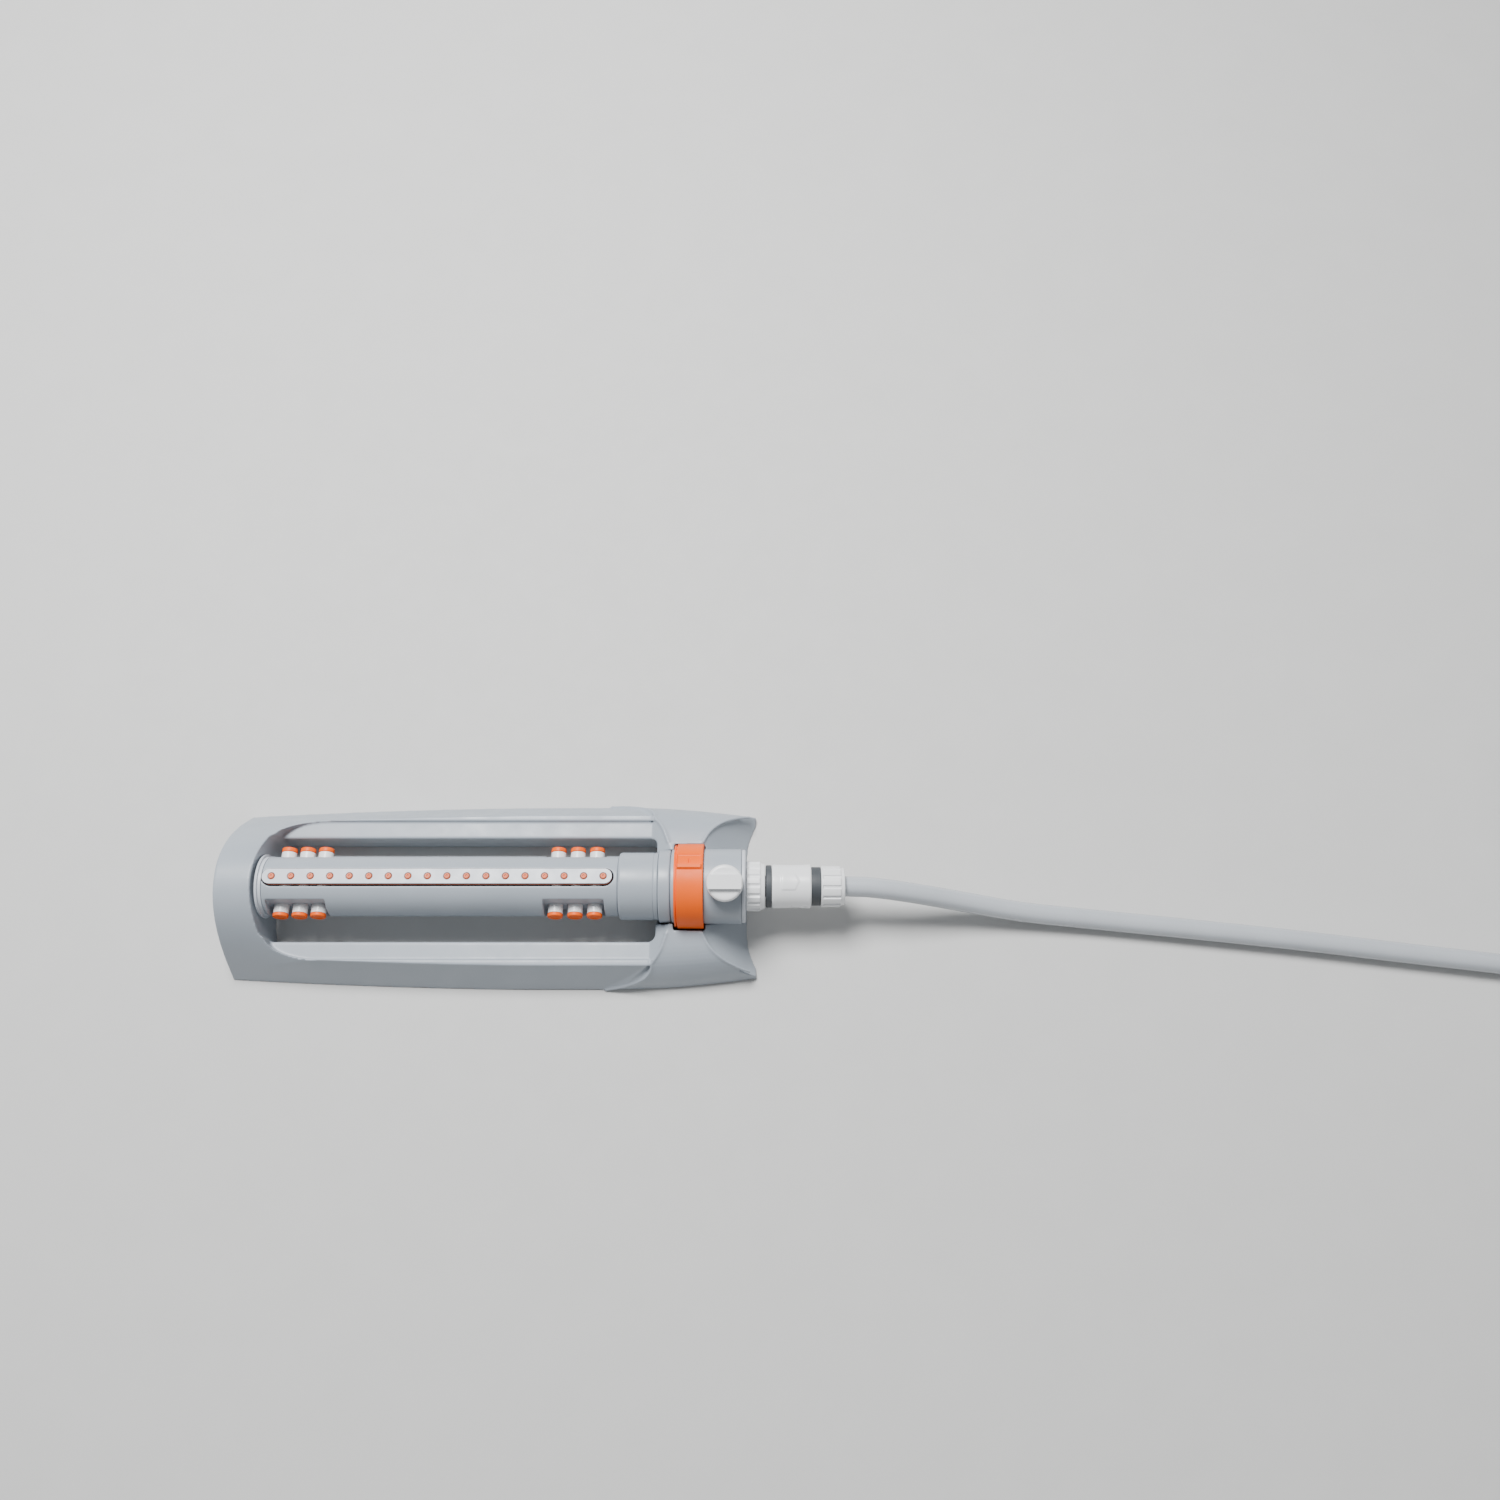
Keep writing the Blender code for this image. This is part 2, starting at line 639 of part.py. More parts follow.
def gear_outline(teeth, tooth_at):
    """An involute outline with one tooth centred on the angle tooth_at."""
    pitch = GEAR_MODULE * teeth / 2
    base = pitch * math.cos(PRESSURE_ANGLE)
    tip = pitch + 0.78 * GEAR_MODULE
    root = pitch - 1.12 * GEAR_MODULE
    half = math.pi / (2 * teeth) - GEAR_BACKLASH / (2 * pitch)
    start = max(base, root)
    flank = []
    for radius in (start, start + 0.55 * (tip - start), tip):
        lean = half + involute(PRESSURE_ANGLE) - involute(math.acos(min(1.0, base / radius)))
        flank.append((radius, lean))
    flank[0] = (root, flank[0][1])
    points = []
    for k in range(teeth):
        centre = tooth_at + math.tau * k / teeth
        for radius, lean in flank:
            points.append((radius * math.cos(centre - lean), radius * math.sin(centre - lean)))
        for radius, lean in reversed(flank):
            points.append((radius * math.cos(centre + lean), radius * math.sin(centre + lean)))
    return points


def gear_at(step):
    low = GEAR_FIRST_X + GEAR_STEP * step
    return low, low + GEAR_WIDTH


def compound_gear(name, z, wheel_step, pinion_step, wheel_tooth, pinion_tooth, material=None):
    """A 20-tooth wheel and an 8-tooth pinion in one piece, free on a shaft."""
    frame = at(0.0, 0.0, z) @ FACE_X
    low, high = gear_at(wheel_step)
    wheel = plate(name, [gear_outline(WHEEL_TEETH, wheel_tooth), circle(SHAFT_BORE, 12)], low, high,
                  material or GEAR_WHITE, frame)
    low, high = gear_at(pinion_step)
    if pinion_step < wheel_step:
        high += GEAR_STEP - GEAR_WIDTH + 0.0004
    else:
        low -= GEAR_STEP - GEAR_WIDTH + 0.0004
    pinion = plate(f"{name}_pinion", [gear_outline(PINION_TEETH, pinion_tooth), circle(SHAFT_BORE, 12)], low, high,
                   None, frame)
    join(wheel, pinion)
    return wheel


def gear_train():
    """Turbine pinion, three compound gears and the output gear, all at one centre distance."""
    down = math.radians(-90)
    up = math.radians(90)
    space_up = up - math.pi / WHEEL_TEETH
    space_down = down - math.pi / WHEEL_TEETH
    compound_gear("reduction_gear_1", LAY_Z, 3, 2, space_up, up)
    compound_gear("reduction_gear_2", AXIS_Z, 2, 1, space_down, down)
    compound_gear("reduction_gear_3", LAY_Z, 1, 0, space_up, up)
    low, high = gear_at(0)
    output = plate("output_gear", [gear_outline(WHEEL_TEETH, space_down), circle(0.0050, 16)], low, high,
                   GEAR_WHITE, at(0.0) @ FACE_X)
    output.data.materials.append(GEAR_WHITE)
    turned("layshaft_pin", [(0.1342, SHAFT_RADIUS), (0.1477, SHAFT_RADIUS)], None, STEEL, along_x(0.0, LAY_Z), 12)


def turbine():
    frame = at(0.0) @ FACE_X
    points = []
    blades = 10
    for k in range(blades):
        angle = math.tau * k / blades
        for radius, turn in ((0.0070, -0.20), (0.0190, -0.04), (0.0200, 0.10), (0.0070, 0.12)):
            points.append((radius * math.cos(angle + turn), radius * math.sin(angle + turn)))
    wheel = plate("turbine_wheel", [points, circle(SHAFT_RADIUS + GAP, 12)], 0.1484, 0.1530, ORANGE, frame)
    low, high = gear_at(3)
    pinion = plate("turbine_pinion", [gear_outline(PINION_TEETH, math.radians(-90)), circle(SHAFT_RADIUS + GAP, 12)],
                   low, high, GEAR_WHITE, frame)
    pinion.data.materials.append(GEAR_WHITE)
    turned("turbine_shaft", [(0.1390, SHAFT_RADIUS), (0.1588, SHAFT_RADIUS)], None, STEEL, along_x(), 12)


def drive_plates():
    frame = at(0.0) @ FACE_X
    lay = (0.0, LAY_Z - AXIS_Z)
    pin_hole = circle(SHAFT_RADIUS + GAP, 12, lay)
    left = plate("gear_plate_left", [circle(0.0268, 24), circle(0.0090, 16), pin_hole], 0.1337, 0.1352,
                 GREY, frame)
    left.data.materials.append(GREY)
    ports = [circle(0.0030, 10, (0.0190 * math.cos(a), 0.0190 * math.sin(a)))
             for a in (math.radians(20), math.radians(160), math.radians(90))]
    right = plate("gear_plate_right", [circle(0.0268, 24), circle(SHAFT_RADIUS + GAP, 12), pin_hole] + ports,
                  0.1466, 0.1478, GREY, frame)
    right.data.materials.append(GREY)
    jets = [circle(0.0016, 8, (0.0160 * math.cos(a), 0.0160 * math.sin(a)))
            for a in (math.radians(55), math.radians(125))]
    jet = plate("jet_plate", [circle(0.0268, 24), circle(SHAFT_RADIUS + GAP, 12)] + jets,
                0.1570, 0.1592, GEAR_WHITE, frame)
    jet.data.materials.append(GEAR_WHITE)
    lever = [(-0.0040, -0.0030), (0.0040, -0.0030), (0.0040, 0.0020), (0.0015, 0.0048), (-0.0015, 0.0048),
             (-0.0040, 0.0020)]
    pivot = at(0.0, 0.0, AXIS_Z + 0.0200) @ FACE_X
    trip = plate("trip_lever", [lever, circle(0.0011, 10)], 0.1540, 0.1560, ORANGE, pivot)
    trip.data.materials.append(ORANGE)
    turned("trip_pin", [(0.1537, 0.0008), (0.1567, 0.0008)], None, STEEL, along_x(0.0, AXIS_Z + 0.0200), 10)


# ---------------------------------------------------------------- housing, valve and inlet
def knob_frame():
    """On the tube axis under the knob, with local Z up the knob's leaning axis."""
    return at(KNOB_X) @ Matrix.Rotation(KNOB_TILT, 4, "X")


def housing():
    outer = [(HOUSING_LEFT, RING_SEAT - 0.0005), (HOUSING_LEFT + 0.0005, RING_SEAT), (RING_RIGHT + 0.0004, RING_SEAT),
             (RING_RIGHT + 0.0005, HOUSING_RADIUS), (HOUSING_RIGHT, HOUSING_RADIUS)]
    inner = [(HOUSING_LEFT, HOUSING_BORE), (HOUSING_RIGHT, HOUSING_BORE)]
    body = baked(turned("housing_body", outer, inner, GREY, along_x(), 36))
    stem = turned("stem_hole", [(0.0100, 0.0048), (0.0500, 0.0048)], None, None, knob_frame(), 16)
    cut(body, baked(stem))
    turned("drive_front_cover",
           [(COVER_LEFT, COVER_RADIUS - 0.0008), (COVER_LEFT + 0.0008, COVER_RADIUS), (COVER_RIGHT, COVER_RADIUS),
            (COVER_RIGHT + 0.0001, 0.0268), (0.1332, 0.0268)],
           [(COVER_LEFT, 0.0088), (0.1332, 0.0088)], GREY, along_x(), 28)
    bore = 0.0085
    turned("housing_end_cap",
           [(0.1835, 0.0268), (HOUSING_RIGHT + 0.0002, 0.0268), (HOUSING_RIGHT + 0.0003, HOUSING_RADIUS - 0.0006),
            (CAP_RIGHT - 0.0008, HOUSING_RADIUS - 0.0006), (CAP_RIGHT, HOUSING_RADIUS - 0.0014),
            (CAP_RIGHT + 0.0001, SPIGOT_RADIUS), (SPIGOT_RIGHT, SPIGOT_RADIUS)],
           [(0.1835, bore), (SPIGOT_RIGHT, bore)], GREY, along_x(), 28)
    turned("filter_screen", [(0.1840, 0.0078), (0.2026, 0.0078)],
           [(0.1840, 0.0062), (0.2026, 0.0062)], STEEL, along_x(), 16)


def range_ring():
    """The orange spray-range collar, with a grip tab and an inner lug left out of sight."""
    outer, inner = ring(RING_LEFT, RING_RIGHT, RING_SEAT + 0.0004, RING_RADIUS)
    outer = [(RING_LEFT, RING_RADIUS - 0.0012), (RING_LEFT + 0.0016, RING_RADIUS - 0.0012),
             (RING_LEFT + 0.0020, RING_RADIUS), (RING_RIGHT - 0.0006, RING_RADIUS),
             (RING_RIGHT, RING_RADIUS - 0.0006)]
    collar = baked(turned("range_ring", outer, inner, ORANGE, along_x(), 36))
    tab_frame = at(0.0) @ Matrix.Rotation(math.radians(-24), 4, "X")
    tab = box("ring_tab", (RING_LEFT + 0.0030, -0.0045, 0.0320), (RING_RIGHT - 0.0010, 0.0045, 0.0352), None,
              tab_frame)
    join(collar, tab)


def flow_valve():
    frame = knob_frame()
    turned("valve_bonnet", [(0.0304, 0.0118), (0.0322, 0.0118), (0.0323, 0.0080), (0.0326, 0.0080)],
           [(0.0304, 0.0046), (0.0326, 0.0046)], GREY, frame, 16)
    knob = baked(turned("flow_knob", [(KNOB_LOW, KNOB_RADIUS - 0.0006), (KNOB_LOW + 0.0006, KNOB_RADIUS),
                                      (KNOB_HIGH - 0.0012, KNOB_RADIUS), (KNOB_HIGH, KNOB_RADIUS - 0.0012)],
                        None, WHITE, frame, 24))
    grip = box("knob_grip", (-0.0120, -0.0042, KNOB_HIGH - 0.0015), (0.0120, 0.0042, KNOB_HIGH + 0.0030), None, frame)
    join(knob, grip)
    stem = baked(turned("valve_stem",
                        [(-0.0120, 0.0070), (0.0110, 0.0070), (0.0112, 0.0042), (KNOB_LOW - GAP, 0.0042)],
                        None, GEAR_WHITE, frame, 16))
    port = turned("plug_port", [(-0.0200, 0.0045), (0.0200, 0.0045)], None, None,
                  frame @ Matrix.Rotation(math.radians(90), 4, "Y"), 16)
    cut(stem, baked(port))


def ribbed_outline(radius, ribs, depth):
    """A grip outline: flat-topped ribs with narrow grooves between them."""
    points = []
    for k in range(ribs):
        angle = math.tau * k / ribs
        for share, inset in ((-0.40, 0.0), (0.40, 0.0), (0.44, depth), (0.56, depth)):
            turn = angle + share * math.tau / ribs
            points.append(((radius - inset) * math.cos(turn), (radius - inset) * math.sin(turn)))
    return points


def tap_adaptor():
    collar = plate("tap_adaptor", [ribbed_outline(ADAPTOR_RADIUS, 12, 0.0012), circle(SPIGOT_RADIUS + GAP, 20)],
                   ADAPTOR_LEFT, 0.2034, WHITE, at(0.0) @ FACE_X)
    nipple = turned("nipple",
                    [(0.2030, 0.0180), (ADAPTOR_RIGHT, 0.0180), (ADAPTOR_RIGHT + 0.0001, NIPPLE_RADIUS),
                     (0.2150, NIPPLE_RADIUS), (0.2151, 0.0072), (0.2172, 0.0072), (0.2173, NIPPLE_RADIUS),
                     (0.2270, NIPPLE_RADIUS), (NIPPLE_RIGHT, NIPPLE_RADIUS - 0.001)],
                    [(0.2030, 0.0052), (NIPPLE_RIGHT, 0.0052)], None, along_x(), 16)
    join(collar, baked(nipple))
    turned("adaptor_o_ring", *ring(0.2153, 0.2170, 0.0075, 0.0088), RUBBER, along_x(), 16)


# ---------------------------------------------------------------- hose and connectors
def hose_connector(prefix, frame):
    """A quick connector along the frame's Z, its mouth at 0 and the hose leaving at NUT_END."""
    turned(f"{prefix}_body",
           [(0.0, 0.0163), (0.0006, CONNECTOR_GRIP_RADIUS), (SLEEVE_START - 0.0003, CONNECTOR_GRIP_RADIUS),
            (SLEEVE_START - 0.0002, 0.0135), (COLLAR_START - 0.0010, 0.0135), (COLLAR_START, COLLAR_RADIUS),
            (NUT_START - GAP, COLLAR_RADIUS), (NUT_START - 0.0002, 0.0115), (0.0580, 0.0105)],
           [(0.0, 0.0091), (0.0220, 0.0091), (0.0221, 0.0048), (0.0580, 0.0048)], DARK, frame, 20)
    turned(f"{prefix}_sleeve",
           [(SLEEVE_START, CONNECTOR_SLEEVE_RADIUS - 0.0008), (SLEEVE_START + 0.0008, CONNECTOR_SLEEVE_RADIUS),
            (SLEEVE_END - 0.0008, CONNECTOR_SLEEVE_RADIUS), (SLEEVE_END, CONNECTOR_SLEEVE_RADIUS - 0.0008)],
           [(SLEEVE_START, 0.0140), (0.0200, 0.0140), (0.0210, COLLAR_RADIUS + GAP),
            (SLEEVE_END, COLLAR_RADIUS + GAP)], WHITE, frame, 20)
    nut = plate(f"{prefix}_nut", [ribbed_outline(NUT_RADIUS, 10, 0.0010), circle(0.0119, 16)],
                NUT_START, 0.0604, WHITE, frame)
    lip = turned(f"{prefix}_nut_lip", [(0.0600, 0.0152), (NUT_END - 0.0008, 0.0148), (NUT_END, 0.0138)],
                 [(0.0600, HOSE_RADIUS + 0.0004), (NUT_END, HOSE_RADIUS + 0.0004)], None, frame, 20)
    join(nut, baked(lip))


def coil_point(angle, radius, z):
    return Vector((COIL_CENTRE[0] + radius * math.cos(angle), COIL_CENTRE[1] + radius * math.sin(angle), z))


def hose():
    tube("hose_run", smooth_route(HOSE_ROUTE, HOSE_POINTS), HOSE_RADIUS, HOSE_SKIN)
    outer = [(0.0, COIL_OUTER - 0.004), (0.004, COIL_OUTER), (COIL_HEIGHT - 0.004, COIL_OUTER),
             (COIL_HEIGHT, COIL_OUTER - 0.004)]
    inner = [(0.0, COIL_INNER + 0.004), (0.004, COIL_INNER), (COIL_HEIGHT - 0.004, COIL_INNER),
             (COIL_HEIGHT, COIL_INNER + 0.004)]
    turned("hose_coil", outer, inner, HOSE_SKIN, at(*COIL_CENTRE, 0.0), 36)
    start = coil_point(TAIL_ANGLE, TAIL_RADIUS, COIL_HEIGHT + HOSE_RADIUS + GAP)
    onward = Vector((-math.sin(TAIL_ANGLE), math.cos(TAIL_ANGLE), 0.0))
    rise = CONNECTOR_SLEEVE_RADIUS + 0.0004 - HOSE_RADIUS
    points = []
    for i in range(7):
        share = i / 6
        lift = rise * share * share * (3 - 2 * share)
        points.append(start + onward * (TAIL_LENGTH * share) + Vector((0, 0, lift)))
    tube("hose_tail", points, HOSE_RADIUS, HOSE_SKIN)
    end = points[-1] + onward * (GAP + NUT_END)
    across = Vector((0, 0, 1)).cross(-onward)
    frame = Matrix.Identity(4)
    frame.col[0].xyz = across
    frame.col[1].xyz = (-onward).cross(across)
    frame.col[2].xyz = -onward
    frame.translation = end
    hose_connector("far_connector", frame)


def build():
    base_frame()
    turned("end_bearing_bush", *ring(-0.2032, -0.1982, 0.0041, 0.0060), GEAR_WHITE, along_x(), 16)
    tube_shell()
    nozzle_strips()
    tube_fittings()
    shut_off_pins()
    gear_train()
    turbine()
    drive_plates()
    housing()
    range_ring()
    flow_valve()
    tap_adaptor()
    hose_connector("connector", along_x() @ Matrix.Translation((0, 0, CONNECTOR_X)))
    hose()


build()
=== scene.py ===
import json
import math

import bmesh
import bpy
from mathutils import Matrix, Vector

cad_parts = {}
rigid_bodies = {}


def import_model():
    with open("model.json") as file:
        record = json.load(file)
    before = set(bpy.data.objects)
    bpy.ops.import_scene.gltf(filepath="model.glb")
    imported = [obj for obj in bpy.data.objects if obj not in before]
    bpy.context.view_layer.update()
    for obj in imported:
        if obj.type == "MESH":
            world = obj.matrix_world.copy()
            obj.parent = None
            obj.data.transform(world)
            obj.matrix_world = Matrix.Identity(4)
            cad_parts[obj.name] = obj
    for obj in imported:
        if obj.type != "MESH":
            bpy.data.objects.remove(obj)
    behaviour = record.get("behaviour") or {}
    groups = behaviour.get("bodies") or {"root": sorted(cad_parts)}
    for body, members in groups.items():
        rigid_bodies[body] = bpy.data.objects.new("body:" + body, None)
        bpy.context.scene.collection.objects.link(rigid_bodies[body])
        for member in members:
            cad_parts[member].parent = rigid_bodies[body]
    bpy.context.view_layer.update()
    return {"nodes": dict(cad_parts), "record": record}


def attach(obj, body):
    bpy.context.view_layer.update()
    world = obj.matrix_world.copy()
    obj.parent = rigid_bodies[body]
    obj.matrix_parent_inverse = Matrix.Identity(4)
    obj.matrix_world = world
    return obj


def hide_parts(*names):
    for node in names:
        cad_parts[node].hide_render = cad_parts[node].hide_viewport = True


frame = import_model()

# ---------------------------------------------------------------- dimensions, in metres
AXIS_Z = 0.040
TUBE_TILT = math.radians(-6)
KNOB_TILT = math.radians(9)
WALL = 0.0025
LEFT_END = -0.228
RIGHT_END = 0.199
WIDEST_X = 0.072
SECTION_POINTS = 26
HALF_WIDTH = 0.0775
LEFT_TAPER = 0.0085
RIGHT_TAPER = 0.0095
SKIRT_RUN = 0.0150
RAIL_Z = 0.030
PLATEAU_Z = 0.028
PLATEAU_HALF = 0.0575
PLATEAU_LEFT = -0.192
PLATEAU_RIGHT = 0.1133
ARCH_Z = 0.068
ARCH_END_X = -0.158
ARCH_CREASE_Z = 0.008
SLOT_LEFT = -0.1993
SLOT_RIGHT = 0.118
SLOT_HALF = 0.0427
SLOT_CORNER = 0.006
SLOT_BOW = 0.0050
TUBE_LEFT = -0.192
TUBE_RIGHT = 0.0893
TUBE_RADIUS = 0.024
TUBE_BORE = 0.0215
STRIP_LEFT = -0.191
STRIP_RIGHT = 0.085
STRIP_HALF = 0.006
NOZZLES = 18
NOZZLE_FIRST = -0.1836
NOZZLE_PITCH = 0.0154
PIN_XS = (-0.1806, -0.1655, -0.1506, 0.0385, 0.0543, 0.0699)
PIN_RADIUS = 0.006
# the pockets the pins stand in: the front ones open upward, the back ones stop at POCKET_ROOF
POCKET_LOW = -0.0080
POCKET_HIGH = 0.0190
POCKET_ROOF = 0.0125
POCKET_FLOOR_Y = 0.0165
PIN_MARGIN = 0.0085
# the white shaft's two ends, then the gap before the caps and how far each cap reaches
PIN_FRONT = -0.0230
PIN_BACK = 0.0280
CAP_GAP = 0.0003
CAP_REACH_FRONT = -0.0028
CAP_REACH_BACK = 0.0035
# the scoops at the base's right corners: where they cut, how they lean and bow
SCOOP_X = 0.192
SCOOP_LEAN = 0.95
SCOOP_BOW = 0.0126
SCOOP_FROM_Y = 0.033
SCOOP_BOW_REACH = 0.035
# how far the bridge's left flank leans right for each metre up
FLANK_LEAN = 1.3
# the raised beads on the base's creases
BEAD_RADIUS = 0.0013
BEAD_SINK = 0.0004
BEAD_SIDES = 12
# the range ring's rib, recess and pointer, in degrees from the top toward the back
RIB_TURN = 14.0
RIB_HALF = 3.4
RECESS_END = 36.0
MARK_TURN = 25.0
KNOB_X = 0.1743
CONNECTOR_X = 0.2066
# from a connector's mouth to the end of its hose nut, and from there to the hose
NUT_END = 0.0634
HOSE_GAP = 0.0003
HOSE_RADIUS = 0.00825
HOSE_ROUTE = (
    (0.2703, 0.0000, 0.0400),
    (0.2900, -0.0007, 0.0397),
    (0.3200, -0.0035, 0.0350),
    (0.3680, -0.0088, 0.0225),
    (0.4160, -0.0150, 0.0125),
    (0.4820, -0.0212, 0.0087),
    (0.5630, -0.0295, 0.0087),
    (0.6440, -0.0382, 0.0087),
    (0.7250, -0.0480, 0.0087),
    (0.7890, -0.0555, 0.0087),
    (0.8350, -0.0609, 0.0087),
    (0.8796, -0.0661, 0.0087),
)
COIL_CENTRE = (0.9575, 0.0421)
COIL_FIRST = 0.1165
COIL_PITCH = 0.0167
COIL_TURNS = 4
COIL_LAYERS = 4
COIL_HEIGHT = 0.0671
TAIL_RADIUS = 0.0998
CLIMB_BULGE = 0.0075
SHIFT_START = math.radians(100)
SHIFT_SPAN = math.radians(72)
ARRIVAL = math.radians(263.33)
TAIL_Z = COIL_HEIGHT + HOSE_RADIUS + 0.0003
TAIL_LENGTH = 0.0600
TAIL_RISE = 0.0176 + 0.0004 - HOSE_RADIUS

TURN_X = Matrix.Rotation(math.radians(90), 4, "Y")
ALONG_X = Matrix.Translation((0, 0, AXIS_Z)) @ TURN_X
TUBE = Matrix.Translation((0, 0, AXIS_Z)) @ Matrix.Rotation(TUBE_TILT, 4, "X")
TUBE_X = TUBE @ TURN_X
KNOB = Matrix.Translation((KNOB_X, 0, AXIS_Z)) @ Matrix.Rotation(KNOB_TILT, 4, "X")
CONNECTOR = ALONG_X @ Matrix.Translation((0, 0, CONNECTOR_X))


# ---------------------------------------------------------------- camera
def make_camera():
    data = bpy.data.cameras.new("camera")
    data.lens = 32.9
    data.sensor_width = 36
    camera = bpy.data.objects.new("camera", data)
    bpy.context.scene.collection.objects.link(camera)
    camera.location = (0.194, -0.2462, 1.1219)
    camera.rotation_euler = (math.radians(18.5), 0, 0)
    bpy.context.scene.camera = camera


make_camera()


# ---------------------------------------------------------------- materials
def node(tree, kind, **values):
    made = tree.nodes.new(kind)
    for key, value in values.items():
        setattr(made, key, value)
    return made


def noise(tree, scale, detail=3.0):
    made = node(tree, "ShaderNodeTexNoise")
    made.inputs["Scale"].default_value = scale
    made.inputs["Detail"].default_value = detail
    made.inputs["Roughness"].default_value = 0.55
    tree.links.new(tree.nodes["place"].outputs["Object"], made.inputs["Vector"])
    return made.outputs["Fac"]


def spread(tree, value, low, high):
    """The middle of a noise, 0.3 to 0.7, spread over low to high."""
    made = node(tree, "ShaderNodeMapRange")
    made.inputs["From Min"].default_value = 0.3
    made.inputs["From Max"].default_value = 0.7
    made.inputs["To Min"].default_value = low
    made.inputs["To Max"].default_value = high
    tree.links.new(value, made.inputs["Value"])
    return made.outputs["Result"]


def blend(tree, share, first, second):
    made = node(tree, "ShaderNodeMix", data_type="RGBA")
    tree.links.new(share, made.inputs["Factor"])
    for socket, colour in ((6, first), (7, second)):
        if isinstance(colour, tuple):
            made.inputs[socket].default_value = (*colour, 1)
        else:
            tree.links.new(colour, made.inputs[socket])
    return made.outputs[2]


def finish_material(name, colour, roughness, mottle=0.05, grain=900.0, bump=0.05, metallic=0.0, coat=0.0,
                    specular=0.5, streak=None):
    """A moulded or drawn surface: uneven colour, broken gloss and a fine raised grain."""
    material = bpy.data.materials.new(name)
    material.use_nodes = True
    tree = material.node_tree
    shader = tree.nodes["Principled BSDF"]
    node(tree, "ShaderNodeTexCoord", name="place")
    dark = tuple(c * (1 - mottle) for c in colour)
    light = tuple(min(1.0, c * (1 + mottle)) for c in colour)
    broad = blend(tree, spread(tree, noise(tree, 22), 0, 1), dark, light)
    fine = blend(tree, spread(tree, noise(tree, 420, 4), 0.35, 0.65), dark, light)
    base = node(tree, "ShaderNodeMix", data_type="RGBA")
    base.inputs["Factor"].default_value = 0.35
    tree.links.new(broad, base.inputs[6])
    tree.links.new(fine, base.inputs[7])
    tree.links.new(base.outputs[2], shader.inputs["Base Color"])
    gloss = spread(tree, noise(tree, 60, 5), max(0.02, roughness - 0.07), roughness + 0.09)
    height = noise(tree, grain, 2)
    if streak:
        lines = node(tree, "ShaderNodeTexWave", bands_direction=streak)
        lines.inputs["Scale"].default_value = 320
        lines.inputs["Distortion"].default_value = 0.6
        tree.links.new(tree.nodes["place"].outputs["Object"], lines.inputs["Vector"])
        height = lines.outputs["Fac"]
    relief = node(tree, "ShaderNodeBump")
    relief.inputs["Strength"].default_value = bump
    relief.inputs["Distance"].default_value = 0.0004
    tree.links.new(height, relief.inputs["Height"])
    tree.links.new(gloss, shader.inputs["Roughness"])
    tree.links.new(relief.outputs["Normal"], shader.inputs["Normal"])
    shader.inputs["Metallic"].default_value = metallic
    shader.inputs["Specular IOR Level"].default_value = specular
    shader.inputs["Coat Weight"].default_value = coat
    shader.inputs["Coat Roughness"].default_value = 0.25
    return material


GREY = finish_material("moulded_grey", (0.350, 0.390, 0.435), 0.38, 0.04, 900, 0.07)
GREY_DRY = finish_material("moulded_grey_dry", (0.335, 0.375, 0.415), 0.42, 0.05, 900, 0.10)
LIGHT = finish_material("moulded_light_grey", (0.56, 0.595, 0.645), 0.36, 0.04, 1100, 0.06)
WHITE = finish_material("moulded_white", (0.87, 0.88, 0.89), 0.30, 0.02, 1200, 0.04, coat=0.15)
ORANGE = finish_material("moulded_orange", (0.95, 0.125, 0.001), 0.42, 0.04, 1100, 0.04, specular=0.25)
SOFT = finish_material("soft_orange", (0.78, 0.19, 0.085), 0.55, 0.07, 1400, 0.14)
DARK = finish_material("dark_soft_grip", (0.055, 0.062, 0.070), 0.58, 0.10, 1500, 0.16)
RUBBER = finish_material("seal_rubber", (0.018, 0.018, 0.018), 0.62, 0.12, 1500, 0.12)
ACETAL = finish_material("acetal", (0.80, 0.80, 0.76), 0.38, 0.03, 1200, 0.05)
STEEL = finish_material("drawn_steel", (0.60, 0.60, 0.61), 0.27, 0.04, 900, 0.10, metallic=1.0, streak="X")
HOSE = finish_material("hose_vinyl", (0.47, 0.50, 0.535), 0.20, 0.05, 700, 0.05, coat=0.5)
FLOOR = finish_material("pale_floor", (0.62, 0.62, 0.61), 0.75, 0.02, 60, 0.03)
MATERIALS = {
    "grey_plastic": GREY_DRY,
    "light_grey_plastic": LIGHT,
    "white_plastic": WHITE,
    "orange_plastic": ORANGE,
    "orange_rubber": SOFT,
    "dark_soft_plastic": DARK,
    "black_rubber": RUBBER,
    "acetal": ACETAL,
    "stainless_steel": STEEL,
    "hose_vinyl": HOSE,
}
SLOTS = {entry["node"]: entry["material_slot"] for entry in frame["record"]["subparts"]}
for name, obj in frame["nodes"].items():
    obj.data.materials.clear()
    obj.data.materials.append(MATERIALS[SLOTS[name]])


# ---------------------------------------------------------------- modelling helpers
CORNER_STEPS = 4


def ramp(distance, run):
    """0 before an edge, 1 from run past it on, and a straight slope between."""
    return min(1.0, max(0.0, distance / run))


def add_piece(obj, material, body, replaced=(), angle=32):
    """Links a finished piece, gives it its finish and puts it on its body."""
    bpy.context.scene.collection.objects.link(obj)
    obj.data.materials.clear()
    obj.data.materials.append(material)
    if obj.type == "MESH":
        obj.data.shade_smooth()
        obj.data.set_sharp_from_angle(angle=math.radians(angle))
    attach(obj, body)
    if replaced:
        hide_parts(*replaced)
    return obj


